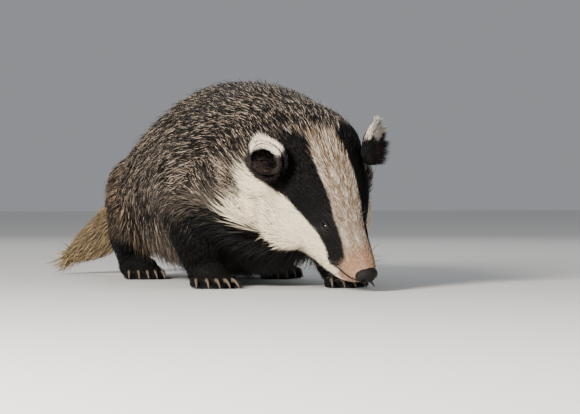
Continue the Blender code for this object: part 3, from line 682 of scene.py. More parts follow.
def scattered(skin, density_of):
    """Even random places on the skin: points, normals, and the loops round each with their weights."""
    mesh = skin.data
    mesh.calc_loop_triangles()
    corners = values_of(mesh.loop_triangles, "vertices", 3, np.int32)
    loops = values_of(mesh.loop_triangles, "loops", 3, np.int32)
    places = vertex_places(skin)
    normals = values_of(mesh.vertices, "normal", 3).astype(float)
    a, b, c = (places[corners[:, i]] for i in range(3))
    area = np.linalg.norm(np.cross(b - a, c - a), axis=1) / 2
    density = density_of(region_shares((a + b + c) / 3)[0])
    number = np.floor(area * density * ROOT_TRIES + dice.random(len(area))).astype(int)
    chosen = np.repeat(np.arange(len(area)), number)
    u, v = dice.random(len(chosen)), dice.random(len(chosen))
    over = u + v > 1
    u[over], v[over] = 1 - u[over], 1 - v[over]
    weights = np.stack((1 - u - v, u, v), axis=1)
    points = (places[corners[chosen]] * weights[:, :, None]).sum(axis=1)
    turned = unit((normals[corners[chosen]] * weights[:, :, None]).sum(axis=1))
    kept = spaced(points, ROOT_SPACING / np.sqrt(density[chosen]))
    return points[kept], turned[kept], loops[chosen[kept]], weights[kept]


def spaced(points, cell):
    """One root of each small cell, which keeps the roots evenly apart."""
    level = np.round(np.log2(cell) * 2) / 2
    keys = np.column_stack((np.floor(points / 2.0 ** level[:, None]), level * 2))
    order = dice.permutation(len(points))
    first = np.unique(keys[order].astype(np.int64), axis=0, return_index=True)[1]
    return np.sort(order[first])


def root_uv(skin, layer, loops, weights):
    """Where the roots lie on an unwrap of the skin."""
    uv = values_of(skin.data.uv_layers[layer].data, "uv", 2)
    return (uv[loops] * weights[:, :, None]).sum(axis=1)


def marched(tree, points, normals, ways, lengths, stops):
    """Lays each tuft along the skin: its places and normals at each stop along its length."""
    count = len(points)
    places = np.empty((count, len(stops), 3))
    outs = np.empty((count, len(stops), 3))
    for i in range(count):
        place, normal, way = Vector(points[i]), Vector(normals[i]), Vector(ways[i])
        gone = 0.0
        for k, stop in enumerate(stops):
            if stop > gone:
                place = place + way * (lengths[i] * (stop - gone))
                gone = stop
                found = tree.find_nearest(place)
                if found[1].dot(normal) > 0.3:
                    place = found[0]
                    normal = (normal * 0.3 + found[1] * 0.7).normalized()
                way = (way - normal * way.dot(normal)).normalized()
            places[i, k] = place
            outs[i, k] = normal
    return places, outs


CLUMP_STRENGTH = 0.26


def clumped(points, tips, size):
    """Draws the tips of neighbouring tufts together towards the tip of one of them."""
    keys = np.floor(points / size).astype(np.int64)
    order = dice.permutation(len(points))
    leaders = order[np.unique(keys[order], axis=0, return_index=True)[1]]
    tree = KDTree(len(leaders))
    for i, leader in enumerate(leaders):
        tree.insert(points[leader], i)
    tree.balance()
    nearest = np.array([leaders[tree.find(p)[1]] for p in points])
    pull = CLUMP_STRENGTH * dice.uniform(0.4, 1.0, len(points))
    return (tips[nearest] - tips) * pull[:, None]


UV_PATCH = 0.003
THREE_STOPS = (0.0, 0.38, 1.0)
FOUR_STOPS = (0.0, 0.30, 0.66, 1.0)
TAPER = ((0, 0.75), (0.35, 1.0), (0.75, 0.72), (1, 0.0))
LOWEST_HAIR = 0.0007


def stored(mesh, name, values):
    """Stores a number or a colour for each point of a mesh."""
    if values.ndim == 2:
        layer = mesh.attributes.new(name, "FLOAT_COLOR", "POINT")
        rgba = np.column_stack((values, np.ones(len(values))))
        layer.data.foreach_set("color", rgba.astype(np.float32).ravel())
    else:
        layer = mesh.attributes.new(name, "FLOAT", "POINT")
        layer.data.foreach_set("value", values.astype(np.float32))


def tuft_faces(stops):
    """The triangles of one closed three-sided tuft that ends in a point."""
    faces = [(0, 2, 1)]
    last = 3 * (stops - 2)
    for low in range(0, last, 3):
        for i in range(3):
            a, b = low + i, low + (i + 1) % 3
            faces += [(a, b, b + 3), (a, b + 3, a + 3)]
    faces += [(last + i, last + (i + 1) % 3, last + 3) for i in range(3)]
    return np.array(faces)


def tuft_mesh(name, spots, outs, widths, depth, uv, attributes):
    """Closed three-sided tufts through their spots, as deep as a share of their width."""
    count, stops = spots.shape[:2]
    along = np.linspace(0, 1, stops)
    taper = along_table(TAPER, along)
    side = unit(np.cross(unit(np.gradient(spots, axis=1)), outs))
    per = 3 * (stops - 1) + 1
    verts = np.empty((count, per, 3))
    for k in range(stops - 1):
        half = side[:, k] * (widths * taper[k] / 2)[:, None]
        verts[:, 3 * k] = spots[:, k] - half
        verts[:, 3 * k + 1] = spots[:, k] + half
        verts[:, 3 * k + 2] = spots[:, k] + outs[:, k] * (widths * depth * taper[k])[:, None]
    verts[:, -1] = spots[:, -1]
    verts[:, :, 2] = np.maximum(verts[:, :, 2], LOWEST_HAIR)
    indices = (tuft_faces(stops)[None] + (np.arange(count) * per)[:, None, None]).reshape(-1)
    mesh = bpy.data.meshes.new(name)
    mesh.vertices.add(count * per)
    mesh.vertices.foreach_set("co", verts.astype(np.float32).ravel())
    mesh.loops.add(len(indices))
    mesh.loops.foreach_set("vertex_index", indices.astype(np.int32))
    mesh.polygons.add(len(indices) // 3)
    mesh.polygons.foreach_set("loop_start", np.arange(0, len(indices), 3, dtype=np.int32))
    mesh.polygons.foreach_set("use_smooth", np.ones(len(indices) // 3, bool))
    share = along[np.arange(per) // 3]
    across = np.append(np.tile((-0.5, 0.5, 0.0), stops - 1), 0.0)
    patch = np.stack((across, share - 0.5), axis=1) * UV_PATCH
    spread = (uv[:, None, :] + patch[None]).reshape(-1, 2)
    layer = mesh.uv_layers.new(name="OFBake")
    layer.data.foreach_set("uv", spread[indices].astype(np.float32).ravel())
    stored(mesh, "along", np.tile(share, count))
    for key, values in attributes.items():
        stored(mesh, key, np.repeat(values, per, axis=0))
    mesh.update()
    mesh.validate()
    return linked(name, mesh)


def clear_of_openings(spots):
    """True for tufts that stay out of the eyes, off the nose pad and off the tip of the nose."""
    clear = np.ones(len(spots), bool)
    for mirror in (1, -1):
        local = (spots - np.array(eye_place(mirror))) @ np.array(eye_axes(mirror))
        flat = np.hypot(local[:, :, 0] / LID_STRETCH, local[:, :, 1])
        clear &= ~((flat < 0.0043) & (local[:, :, 2] > -0.004)).any(axis=1)
    local = in_head(spots)
    pad = (local - np.array(NOSE_PAD_PLACE)) / (np.array(NOSE_PAD_HALF) * 0.97)
    clear &= ~((pad**2).sum(axis=2) < 1).any(axis=1)
    x, y, z = np.abs(local[:, 0, 0]), local[:, 0, 1], local[:, 0, 2]
    clear &= ~((x < 0.011) & (y < 0.0075) & (z < 0.004))
    return clear


# How far hairs stray from the lie of the coat, and how the belly's fringe hangs.
RANDOM_TURN = np.radians(9.0)
WAVE_TURN = np.radians(14.0)
STRAY_SHARE = 0.05
ROOT_DEPTH = 0.0012
RISE_ALONG = ((0, -0.12), (0.3, 0.45), (0.66, 0.85), (1.0, 1.0))
FRINGE_DROP = 0.034
TUFT_DEPTH = 0.28
EAR_TUFT_DEPTH = 0.3


def rooted(skin, regions):
    """The roots of some regions' coat: points, normals, loops, weights, shares and ways."""
    chosen = np.zeros(len(REGIONS))
    chosen[list(regions)] = 1

    def density_of(shares):
        return chosen[shares.argmax(axis=1)] * (shares @ HAIR_DENSITY) + 1e-6

    points, normals, loops, weights = scattered(skin, density_of)
    shares, ways = region_shares(points)
    kept = chosen[shares.argmax(axis=1)] > 0
    kept &= ~((points[:, 2] < 0.0025) & (normals[:, 2] < -0.5))
    return [values[kept] for values in (points, normals, loops, weights, shares, ways)]


def combed(points, normals, shares, ways):
    """The way each tuft starts along the skin, a little off the lie of the coat."""
    ways = lie_of(points, shares, ways)
    ways = unit(ways - normals * (ways * normals).sum(axis=1, keepdims=True))
    turn = RANDOM_TURN * dice.normal(size=len(points)) + WAVE_TURN * swirl(points, 38.0, 0.4)
    turn *= 1 - 0.55 * shares[:, HEAD]
    side = np.cross(normals, ways)
    return ways * np.cos(turn)[:, None] + side * np.sin(turn)[:, None]


def hair_sizes(points, shares):
    """Each tuft's length, its width and its height over the skin at the tip."""
    count = len(points)
    size = face_size(in_head(points), shares)
    lengths = (shares @ HAIR_LENGTH) * size * dice.uniform(0.72, 1.18, count)
    widths = (shares @ HAIR_WIDTH) * np.sqrt(size) * dice.uniform(0.65, 1.25, count)
    rises = (shares @ HAIR_RISE) * np.minimum(size, 1.4) * dice.uniform(0.55, 1.1, count)
    stray = dice.random(count) < STRAY_SHARE
    return lengths, np.where(stray, widths * 0.55, widths), np.where(stray, rises * 1.5, rises)


def fringe_drop(points, normals, shares):
    """How far each tuft's tip hangs below the lie of the coat, under the flanks and the belly."""
    fringe = shares[:, TORSO] * step(-normals[:, 2], -0.10, 0.45)
    fringe = fringe * step(0.115 - points[:, 2], 0.0, 0.03)
    return FRINGE_DROP * fringe * dice.uniform(0.4, 1.1, len(points))


def coat(name, skin, tree, regions, layer, stops, pieces, clump):
    """The coat of some regions, shared out among a few pieces that each cover all of them."""
    points, normals, loops, weights, shares, ways = rooted(skin, regions)
    count = len(points)
    ways = combed(points, normals, shares, ways)
    lengths, widths, rises = hair_sizes(points, shares)
    places, outs = marched(tree, points, normals, ways, lengths, stops)
    curve = along_table(RISE_ALONG, stops)
    spots = places + outs * (rises[:, None] * curve[None])[:, :, None]
    spots[:, 0] = points - normals * ROOT_DEPTH
    drop = fringe_drop(points, normals, shares)
    pull = clumped(points, spots[:, -1], clump)
    for k, stop in enumerate(stops):
        spots[:, k] += pull * stop**1.6
        spots[:, k, 2] -= drop * stop**1.5
    clear = clear_of_openings(spots)
    colour, band = markings((spots[:, 1] + spots[:, -2]) / 2, dice.normal(size=count))
    colour = colour * dice.uniform(0.78, 1.15, (count, 1))
    uv = root_uv(skin, layer, loops, weights)
    made = []
    for piece in range(pieces):
        own = np.flatnonzero(clear & (np.arange(count) % pieces == piece))
        attributes = {"tint": colour[own], "band": band[own], "shade": dice.random(len(own)) ** 2.0}
        full_name = f"{name}_{piece + 1}" if pieces > 1 else name
        rows = (spots[own], outs[own], widths[own], TUFT_DEPTH, uv[own])
        made.append(tuft_mesh(full_name, *rows, attributes))
    return made


# Hair on the head by the place back from the nose tip, as a share of its length on the crown.
FACE_SIZES = ((0.010, 0.40), (0.04, 0.56), (0.08, 0.80), (0.12, 1.00), (0.16, 1.25), (0.19, 1.60))


def face_size(local, shares):
    """Hair on the head is shortest at the nose and round the eyes and longest on the cheeks."""
    y, z = local[:, 1], local[:, 2]
    cheek = step(-z, 0.005, 0.04) * step(y, 0.07, 0.13)
    size = along_table(FACE_SIZES, y) * (1 + 0.20 * cheek)
    for mirror in (1, -1):
        away = np.linalg.norm(local - np.array(sided(EYE_PLACE + EYE_SET, mirror)), axis=1)
        size = size * (0.45 + 0.55 * step(away, 0.007, 0.020))
    head = shares[:, HEAD]
    return size * head + (1 - head)


def unwrapped(skin, layer, regions):
    """Unwraps the skin of some regions into a UV layer of their own."""
    mesh = skin.data
    mesh.uv_layers.active = mesh.uv_layers.new(name=layer)
    shares = region_shares(values_of(mesh.polygons, "center", 3).astype(float))[0]
    mesh.polygons.foreach_set("select", np.isin(shares.argmax(axis=1), list(regions)))
    bpy.context.view_layer.objects.active = skin
    bpy.context.tool_settings.mesh_select_mode = (False, False, True)
    bpy.ops.object.mode_set(mode="EDIT")
    bpy.ops.uv.smart_project(angle_limit=math.radians(66), island_margin=0.002)
    bpy.ops.object.mode_set(mode="OBJECT")


def tinted(made, colours):
    """Gives a mesh its colours, one for each point or one for all of them."""
    stored(made.data, "tint", np.broadcast_to(colours, (len(made.data.vertices), 3)))


def ear_axes(mirror):
    """The ear's own frame: across, out of its opening, and up to its tip."""
    tip = HEAD_AXES @ sided(EAR_TIP_WAY, mirror)
    out = HEAD_AXES @ sided(EAR_OPEN_WAY, mirror)
    out = (out - tip * out.dot(tip)).normalized()
    return Matrix((out.cross(tip), out, tip)).transposed()


def ear_middle(mirror):
    place = sided(EAR_PLACE, mirror)
    return head_point(place + RIGHT_EAR_TURNED if mirror > 0 else place)


EAR_THICKNESS = 0.0016
RIGHT_EAR_TURNED = Vector((-0.0050, 0.0030, -0.0010))
EAR_RIM = math.radians(97)
EAR_RINGS = 14
EAR_SIDES = 40
EAR_FLESH = np.array((0.010, 0.006, 0.005))
EAR_RED = np.array((0.060, 0.022, 0.016))
EAR_TUFTS = 3600
EAR_INNER_TUFTS = 3400
EAR_LIFT = np.array((-0.0006, 0.0007, 0.0012))
EAR_MAP_RADIUS = 0.23


def bowl_points(turn, round_way, inset):
    """Places on the ear's bowl at angles from the middle of its back and round its opening."""
    size = np.array(EAR_HALF) - inset
    return np.stack(
        (
            size[0] * np.sin(turn) * np.cos(round_way),
            -size[1] * np.cos(turn) * np.ones_like(round_way),
            size[2] * np.sin(turn) * np.sin(round_way),
        ),
        axis=-1,
    )


def ear_shell(name, mirror):
    axes, middle = np.array(ear_axes(mirror)), np.array(ear_middle(mirror))
    turns = [EAR_RIM * (i + 0.3) / EAR_RINGS for i in range(EAR_RINGS)] + [EAR_RIM]
    angles = np.linspace(0, 2 * math.pi, EAR_SIDES, endpoint=False)
    rings = []
    for inset, steps in ((0.0, turns), (EAR_THICKNESS, reversed(turns))):
        for turn in steps:
            places = bowl_points(np.full_like(angles, turn), angles, inset) @ axes.T + middle
            rings.append([Vector(p) for p in places])
    made = loft(name, rings)
    local = (vertex_places(made) - middle) @ axes
    tinted(made, mixed(BLACK, EAR_FLESH, 0.5 * step(local[:, 1], -0.006, 0.001)))
    return made


def ear_colour(local, mirror, inner):
    """White along the top of the ear's rim, black behind it and dark inside, with a few reddish hairs."""
    count = len(local)
    noise = dice.normal(size=count)
    inward = math.copysign(1.0, mirror * ear_axes(mirror).col[0].dot(HEAD_AXES.col[0]))
    across, up = local[:, 0] / EAR_HALF.x * inward, local[:, 2] / EAR_HALF.z
    top = step(0.94 * up + 0.34 * across + 0.10 * noise, 0.18, 0.46)
    rim = step(np.hypot(across, up) + 0.05 * noise, 0.55, 0.72)
    colour = mixed(BLACK * 1.2, WHITE * 1.05, top * rim)
    if inner:
        white = step(colour.mean(axis=1), 0.1, 0.4)
        colour = mixed(mixed(BLACK * 1.2, EAR_RED, dice.random(count) ** 6), colour, white)
    return colour


def ear_tufts(mirror, inner):
    """One ear's tufts, inside or behind: spots, outs, widths, colours and places on a round map."""
    axes, middle = np.array(ear_axes(mirror)), np.array(ear_middle(mirror))
    count = EAR_INNER_TUFTS if inner else EAR_TUFTS
    turn = np.arccos(1 - dice.random(count) * (1 - math.cos(EAR_RIM)))
    round_way = dice.random(count) * 2 * math.pi
    rim = dice.random(count) < (0.45 if inner else 0.40)
    turn = np.where(rim, EAR_RIM * dice.uniform(0.90, 1.0, count), turn)
    local = bowl_points(turn, round_way, EAR_THICKNESS if inner else 0.0)
    normal = unit(local / (np.array(EAR_HALF) ** 2))
    radial = unit(local * (1, 0, 1))
    way = radial * 0.55 + np.array((0, 0.15 if inner else -0.05, 0.85))
    length = np.where(rim, 0.0100, 0.0068) * dice.uniform(0.7, 1.2, count)
    if inner:
        normal = -normal
        way = way * 0.7 + np.array((0, 0.9, 0.15)) - radial * 0.25
        length = length * 1.25
    low = 1 - step(local[:, 2] / EAR_HALF.z, -0.35, 0.10)
    length = length * (1 + 0.75 * low)
    way = way + np.array((0, 0.5, 0.55)) * low[:, None]
    way = unit(way + dice.normal(scale=0.12, size=(count, 3)))
    flat = np.where(rim | (not inner), 0.8, 0.0)
    way = unit(way - normal * ((way * normal).sum(axis=1) * flat)[:, None])
    path = local[:, None] + way[:, None] * (length[:, None] * np.array(THREE_STOPS))[:, :, None]
    path = path + normal[:, None] * EAR_LIFT[None, :, None]
    colour = ear_colour(local, mirror, inner)
    outs = np.repeat((normal @ axes.T)[:, None], len(THREE_STOPS), axis=1)
    widths = 0.0010 * dice.uniform(0.7, 1.2, count)
    colour = colour * dice.uniform(0.8, 1.1, (count, 1))
    flat = np.stack((np.cos(round_way), np.sin(round_way)), axis=1) * (turn / EAR_RIM)[:, None]
    return path @ axes.T + middle, outs, widths, colour, flat * EAR_MAP_RADIUS


def ear_fur(skin_tree):
    """Short fur over the back of each ear, a fringe on its rim and longer hairs inside."""
    parts = []
    for quarter, (mirror, inner) in enumerate(itertools.product((1, -1), (False, True))):
        *rows, flat = ear_tufts(mirror, inner)
        corner = (0.25 + 0.5 * (quarter % 2), 0.25 + 0.5 * (quarter // 2))
        parts.append((*rows, flat + corner))
    rows = [np.concatenate(arrays) for arrays in zip(*parts)]
    clear = [not buried(skin_tree, p, 0.0015) for p in rows[0][:, 0]]
    spots, outs, widths, colours, uv = (values[clear] for values in rows)
    count = len(spots)
    attributes = {"tint": colours, "band": np.zeros(count), "shade": dice.random(count)}
    return tuft_mesh("ear_fur", spots, outs, widths, EAR_TUFT_DEPTH, uv, attributes)


def buried(tree, point, depth):
    """Whether a point lies deeper in the skin than a depth."""
    found = tree.find_nearest(Vector(point))
    return (Vector(point) - found[0]).dot(found[1]) < -depth


LID_HALF_LENGTH = 0.0060
LID_HALF_HEIGHT = 0.0038
LID_RADIUS = 0.0012
LID_DROP = 0.0030
LID_POINTS = 40


def lids(mirror):
    """The skin round an eye: an oval ring with a heavier upper lid."""
    axes = eye_axes(mirror)
    back, across, look = axes.col[0], axes.col[1], axes.col[2]
    if across.dot(HEAD_AXES.col[2]) < 0:
        across = -across
    centre = eye_place(mirror)
    rings = []
    for i in range(LID_POINTS):
        angle = 2 * math.pi * i / LID_POINTS
        upper = math.sin(angle) > 0
        height = LID_HALF_HEIGHT * (0.95 if upper else 0.85)
        way = back * math.cos(angle) * LID_HALF_LENGTH + across * math.sin(angle) * height
        place = centre + way + look * math.sqrt(EYE_RADIUS**2 - way.length_squared)
        radius = LID_RADIUS * (1.15 if upper else 0.95)
        rings.append(oval(place, way.normalized(), look, radius, radius * 0.7, LID_DROP, 10))
    return loft("lid", rings, loop=True)


def lips(tree):
    """The dark edges of the closed mouth, laid where its plane meets the skin."""
    axes = HEAD_AXES @ Matrix.Rotation(MOUTH_SLOPE, 3, "X")
    stations = [0.052 - 0.006 * i for i in range(5)]
    rays = [(back, 0.0) for back in stations]
    rays += [(0.022, math.pi * i / 10) for i in range(11)]
    rays += [(back, math.pi) for back in reversed(stations)]
    made = []
    for rise, radius in ((0.0004, 0.0010), (-0.0007, 0.0009)):
        path = []
        for back, angle in rays:
            inside = head_point(MOUTH_FRONT) + axes @ Vector((0, back - MOUTH_FRONT.y, rise))
            way = axes @ Vector((math.cos(angle), -math.sin(angle), 0))
            hit = tree.ray_cast(inside, way)[0]
            if hit:
                path.append(hit)
        made.append(limb("lip", path, [radius] * len(path), 8))
    return made


EYE_PUPIL = np.array((0.003, 0.003, 0.003))
EYE_IRIS = np.array((0.008, 0.004, 0.003))
NOSE_TINT = np.array((0.0080, 0.0062, 0.0056))


def eye_ball(name, mirror):
    """A wet dark ball whose front bulges a little."""
    made = blob(name, Vector((0, 0, 0)), (EYE_RADIUS,) * 3, fineness=5)
    local = vertex_places(made)
    from_look = np.arccos(np.clip(local[:, 2] / EYE_RADIUS, -1, 1))
    local *= (1 + 0.02 * np.exp(-((from_look / 0.5) ** 2)))[:, None]
    iris = step(from_look, 0.30, 0.36) * (1 - step(from_look, 0.62, 0.74))
    tinted(made, mixed(EYE_PUPIL, EYE_IRIS, iris))
    set_places(made, local @ np.array(eye_axes(mirror)).T + np.array(eye_place(mirror)))
    return made


def nose_pad():
    """The bare nose, with two comma nostrils and the groove between them."""
    made = blob("nose_pad", Vector((0, 0, 0)), (1, 1, 1), fineness=6)
    ball = vertex_places(made)
    local = ball * np.array(NOSE_PAD_HALF)
    x, z = np.abs(local[:, 0]), local[:, 2]
    middle, level = NOSTRIL_PLACE
    front = step(-ball[:, 1], -0.1, 0.5)
    sink = 0.0042 * bell(x, middle, 0.0024) * bell(z, level, 0.0026) * front
    slit = 0.0026 * bell(z, -0.0016 - 0.25 * (x - 0.006), 0.0011) * step(x, 0.0055, 0.0085) * front
    slit *= 1 - step(x, 0.0118, 0.0132)
    groove = 0.0012 * bell(x, 0.0, 0.0009) * (1 - step(z, 0.0015, 0.0045)) * front
    local[:, 1] += sink + slit + groove
    local[:, 1] -= 0.0005 * bell(np.hypot(x - middle, z - level), 0.0042, 0.0012) * front
    local = local * (1 - 0.12 * step(-z, 0.003, 0.010))[:, None]
    # Painted shade: the nose's tint darkens where the nostrils and their slits sink in, down to 0.15 of
    # itself.
    shade = np.clip(1 - 0.75 * (sink + slit) / 0.0040, 0.15, 1)
    tinted(made, NOSE_TINT * shade[:, None])
    set_places(made, (local + np.array(NOSE_PAD_PLACE)) @ np.array(HEAD_AXES).T + np.array(NOSE_TIP))
    return made


def bristle(root, way, length, radius, sag):
    """A whisker that thins to its end and sags a little."""
    side = way.cross(UP).normalized()
    rise = side.cross(way)
    rings = []
    for k in range(7):
        t = k / 6
        centre = root + way * length * t - UP * sag * t * t
        thick = radius * (1 - 0.88 * t)
        rings.append(oval(centre, side, rise, thick, thick, thick, 5))
    return loft("whisker", rings)


def whiskers(tree):
    """Bristles on the upper lip, over the eyes and under the chin."""
    chance = np.random.default_rng(SEED + 1)
    rows = [(0.024 + 0.0060 * i, -0.003 - 0.0045 * j, 0.030 + 0.003 * i) for i in range(4) for j in range(2)]
    rows += [(0.063 + 0.004 * i, 0.0225 - 0.001 * i, 0.016) for i in range(3)]
    rows += [(0.030 + 0.007 * i, -0.030, 0.014) for i in range(2)]
    made = []
    for mirror in (1, -1):
        for y, z, length in rows:
            start = head_point((0, y, z))
            out = HEAD_AXES @ Vector((-mirror, -0.05, 0.1 if z > 0 else -0.25))
            hit = tree.ray_cast(start, out)[0]
            if hit is None:
                continue
            lean = Vector((-mirror * 0.9, 0.30 + 0.15 * chance.normal(), -0.30 + 0.12 * chance.normal()))
            if z > 0.01:
                lean.z = 0.75
            way = (HEAD_AXES @ lean).normalized()
            size = length * chance.uniform(0.8, 1.15)
            made.append(bristle(hit - way * 0.001, way, size, 0.00022, 0.06 * size))
    return joined("whiskers", made)


def claws():
    """Five long curved claws on each paw."""
    made = []
    for path, radii, length, claw_length in legs():
        for place, across in toe_places(path[-1], length):
            way = Vector((across * 0.22, -1, 0)).normalized()
            root = place + way * TOE_RADIUS * 0.8 + UP * CLAW_RADIUS * 0.6
            middle = root + way * claw_length * 0.60 + UP * CLAW_RADIUS * 0.9
            tip = root + way * claw_length * 1.02
            tip.z = CLAW_TIP_HEIGHT
            rings = []
            for k in range(10):
                t = k / 9
                centre = root * (1 - t) ** 2 + middle * 2 * t * (1 - t) + tip * t * t
                thick = CLAW_RADIUS * (1 - t) ** 0.55 * 0.92 + 0.0002
                rings.append(oval(centre, way.cross(UP), UP, thick * 0.8, thick, thick, 12))
            made.append(loft("claw", rings))
    return joined("claws", made)


def added(made, kind, inputs=(), **settings):
    """A new node with its settings and its inputs: values, or other nodes' outputs."""
    node = made.node_tree.nodes.new(f"ShaderNode{kind}")
    for name, value in settings.items():
        setattr(node, name, value)
    fed(made, node, inputs)
    return node


def fed(made, node, inputs):
    """Sets a node's inputs by name or number, or links them to other nodes' outputs."""
    for name, value in dict(inputs).items():
        if isinstance(value, bpy.types.NodeSocket):
            made.node_tree.links.new(value, node.inputs[name])
        else:
            node.inputs[name].default_value = value


def read_from(made, name):
    return added(made, "Attribute", attribute_name=name).outputs


def material(name, roughness, specular=0.5, bump=0.0, scale=300.0, contrast=0.15):
    """A material whose colour comes from the mesh's tint, varied by a fine noise."""
    made = bpy.data.materials.new(name)
    made.use_nodes = True
    shader = made.node_tree.nodes["Principled BSDF"]
    place = added(made, "TexCoord").outputs["Object"]
    noise = added(made, "TexNoise", {"Vector": place, "Scale": scale, "Detail": 4.0}).outputs["Fac"]
    limits = {"From Min": 0.3, "From Max": 0.7, "To Min": 1 - contrast, "To Max": 1 + contrast}
    spread = added(made, "MapRange", {"Value": noise, **limits}).outputs["Result"]
    tint = read_from(made, "tint")["Color"]
    shade = added(made, "VectorMath", {0: tint, "Scale": spread}, operation="SCALE").outputs["Vector"]
    fed(made, shader, {"Base Color": shade, "Roughness": roughness, "Specular IOR Level": specular})
    if bump:
        relief = added(made, "Bump", {"Strength": bump, "Distance": 0.001, "Height": noise})
        fed(made, shader, {"Normal": relief.outputs["Normal"]})
    return made


RING_STOPS = ((0.20, 0.0), (0.42, 1.0), (0.88, 1.0), (0.97, 0.0))
RING_SHIFT = 0.48


def hair_material():
    """Hair: painted shade darkens it towards its root, with a dark ring under a pale tip where the coat is
    grizzled.
    """
    made = material("hair", 0.52, specular=0.16, scale=700.0, contrast=0.12)
    shader = made.node_tree.nodes["Principled BSDF"]
    tint = shader.inputs["Base Color"].links[0].from_socket
    along = read_from(made, "along")["Fac"]
    turn = {0: read_from(made, "shade")["Fac"], 1: RING_SHIFT, 2: along}
    shift = added(made, "Math", turn, operation="MULTIPLY_ADD").outputs["Value"]
    ring = added(made, "ValToRGB", {"Fac": shift})
    ring.color_ramp.interpolation = "EASE"
    stops = ring.color_ramp.elements
    for k, (position, value) in enumerate(RING_STOPS):
        stop = stops[k] if k < 2 else stops.new(position)
        stop.position = position
        stop.color = (value, value, value, 1)
    share = {0: ring.outputs["Color"], 1: read_from(made, "band")["Fac"]}
    amount = added(made, "Math", share, operation="MULTIPLY").outputs["Value"]
    # Painted shade: towards the root the hair's colour falls to 0.45 of its tint, for the shade deep in the
    # coat.
    limits = {"To Min": 0.45, "To Max": 1.0, "From Max": 0.5}
    deep = added(made, "MapRange", {"Value": along, **limits}).outputs["Result"]
    root_shaded_tint = added(made, "VectorMath", {0: tint, "Scale": deep}, operation="SCALE").outputs["Vector"]
    blend = added(made, "Mix", {"Factor": amount, 6: root_shaded_tint, 7: (*DARK, 1)}, data_type="RGBA")
    fed(made, shader, {"Base Color": blend.outputs[2]})
    return made


def dressed(piece, look, slot, *nodes):
    piece.data.materials.clear()
    piece.data.materials.append(look)
    piece.data.transform(Matrix.Translation(SHIFT))
    piece.data.shade_smooth()
    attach(piece, "root")
    if nodes:
        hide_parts(*nodes)


CAMERA_TURN = math.radians(-15)
CAMERA_AWAY = 3.2
CAMERA_AIM = Vector((-0.018, -0.33, 0.12))
CAMERA_DROP = -0.008
CAMERA_LENS = 178.8
FLOOR_HALF = 9.0
FLOOR_COLOUR = (0.78, 0.77, 0.75)
SKY_COLOUR = (0.80, 0.83, 0.88)
SKY_STRENGTH = 0.36
LIGHT_AIM = Vector((0.0, -0.10, 0.10))
# Each light as (name, place, size, power, colour).
LIGHTS = (
    ("key", (-1.85, -2.3, 1.05), 0.8, 215, (1.0, 0.95, 0.87)),
    ("fill", (1.9, -2.4, 0.9), 1.8, 9, (0.90, 0.95, 1.0)),
    ("back", (0.6, 2.2, 1.6), 1.4, 10, (1, 1, 1)),
)


def area_light(name, place, size, power, colour):
    data = bpy.data.lights.new(name, "AREA")
    data.shape = "DISK"
    data.size = size
    data.energy = power
    data.color = colour
    made = linked(name, data)
    made.location = place
    made.rotation_euler = (LIGHT_AIM + SHIFT - Vector(place)).to_track_quat("-Z", "Y").to_euler()


def floor_plane():
    corners = [(x * FLOOR_HALF, y * FLOOR_HALF, 0) for x, y in ((-1, -1), (1, -1), (1, 1), (-1, 1))]
    floor = mesh_object("floor", corners, [(0, 1, 2, 3)])
    look = bpy.data.materials.new("floor")
    look.use_nodes = True
    fed(look, look.node_tree.nodes["Principled BSDF"], {"Base Color": (*FLOOR_COLOUR, 1), "Roughness": 0.85})
    floor.data.materials.append(look)


def stage():
    """A pale floor, soft light from the left of the camera, and the camera at the photo's angle."""
    floor_plane()
    world = bpy.data.worlds.new("studio")
    bpy.context.scene.world = world
    world.use_nodes = True
    fed(world, world.node_tree.nodes["Background"], {"Color": (*SKY_COLOUR, 1), "Strength": SKY_STRENGTH})
    for light in LIGHTS:
        area_light(*light)
    deep = Vector((-math.sin(CAMERA_TURN), math.cos(CAMERA_TURN), 0))
    data = bpy.data.cameras.new("camera")
    data.lens = CAMERA_LENS
    data.sensor_width = 36.0
    data.clip_end = 60.0
    camera = linked("camera", data)
    camera.location = deep * -CAMERA_AWAY + CAMERA_AIM + SHIFT
    look = (deep + UP * CAMERA_DROP).normalized()
    camera.rotation_euler = look.to_track_quat("-Z", "Y").to_euler()
    bpy.context.scene.camera = camera


HORN_TINT = (0.115, 0.090, 0.066)
WHISKER_TINT = (0.05, 0.04, 0.035)
TRIM_TINT = (0.007, 0.006, 0.006)
SIDES = ("left", "right")
# Each coat as (name, regions, UV layer of the roots, stops along a tuft, pieces, size of its clumps).
COATS = (
    ("coat", (TORSO, NECK), "OFBake", FOUR_STOPS, 6, 0.008),
    ("face_fur", (HEAD,), "head_map", THREE_STOPS, 2, 0.0035),
    ("leg_fur", (LEG, PAW), "limb_map", THREE_STOPS, 2, 0.006),
    ("tail_fur", (TAIL,), "tail_map", FOUR_STOPS, 1, 0.014),
)


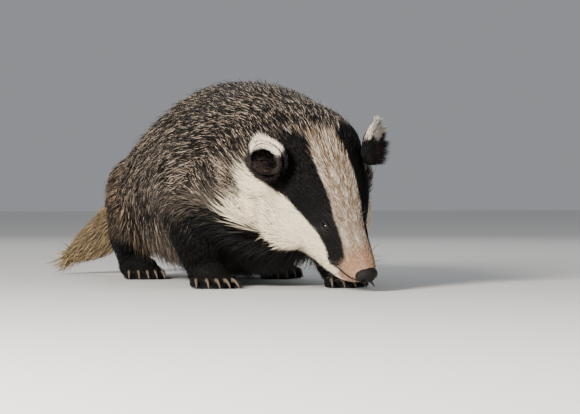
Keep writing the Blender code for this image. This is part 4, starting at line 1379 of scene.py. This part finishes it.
def dress_coats(skin, tree):
    unwrapped(skin, "OFBake", REGIONS)
    for name, regions, layer, *rest in COATS[1:]:
        unwrapped(skin, layer, regions)
    hair = hair_material()
    made = [(coat(name, skin, tree, *rest), name) for name, *rest in COATS]
    for pieces, slot in made:
        for piece in pieces:
            dressed(piece, hair, slot)
    dressed(ear_fur(tree), hair, "ear_fur")
    for name, regions, layer, *rest in COATS[1:]:
        skin.data.uv_layers.remove(skin.data.uv_layers[layer])


def dress_parts(tree):
    for side, mirror in (("right", 1), ("left", -1)):
        leather = material(f"ear_skin_{side}", 0.7, specular=0.15, bump=0.3, scale=500)
        dressed(ear_shell(f"ear_shell_{side}", mirror), leather, "ear_fur", f"ear_{side}")
        wet = material(f"eye_{side}", 0.06, specular=0.32, scale=900, contrast=0.3)
        dressed(eye_ball(f"eyeball_{side}", mirror), wet, "eye", f"eye_{side}")
    bare = material("nose", 0.48, specular=0.20, bump=0.9, scale=1100, contrast=0.3)
    dressed(nose_pad(), bare, "nose", "nose")
    horn = claws()
    tinted(horn, HORN_TINT)
    dressed(horn, material("horn", 0.42, bump=0.25, scale=350, contrast=0.3), "paw")
    bristles = whiskers(tree)
    tinted(bristles, WHISKER_TINT)
    dressed(bristles, material("whisker", 0.4, contrast=0.1), "face_fur")


def dress_skin(skin, tree):
    """The skin in the coat's own markings, darkened with painted shade under the hair, most where the coat
    is banded, with its lids and lips.
    """
    places = vertex_places(skin)
    colour, band = markings(places, np.zeros(len(places)))
    # Painted shade: the skin under the coat is darkened to 0.75 of the markings, and to a fifth of that
    # where the coat is banded, for the shade among the hair.
    tinted(skin, colour * (1 - 0.80 * band)[:, None] * 0.75)
    trim = [lids(1), lids(-1)] + lips(tree)
    for piece in trim:
        tinted(piece, TRIM_TINT)
        piece.data.uv_layers.new(name="OFBake")
    skin = joined("skin", [skin] + trim)
    limbs = itertools.product(("foreleg", "hindleg", "forepaw", "hindpaw"), SIDES)
    flesh = ["head", "jaw", "neck", "torso", "tail"] + [f"{part}_{side}" for part, side in limbs]
    dressed(skin, material("skin", 0.75, specular=0.3, bump=0.5, scale=260, contrast=0.2), "coat", *flesh)


def main():
    skin = whole_skin()
    tree = surface_tree(skin)
    dress_coats(skin, tree)
    dress_parts(tree)
    dress_skin(skin, tree)
    stage()


main()
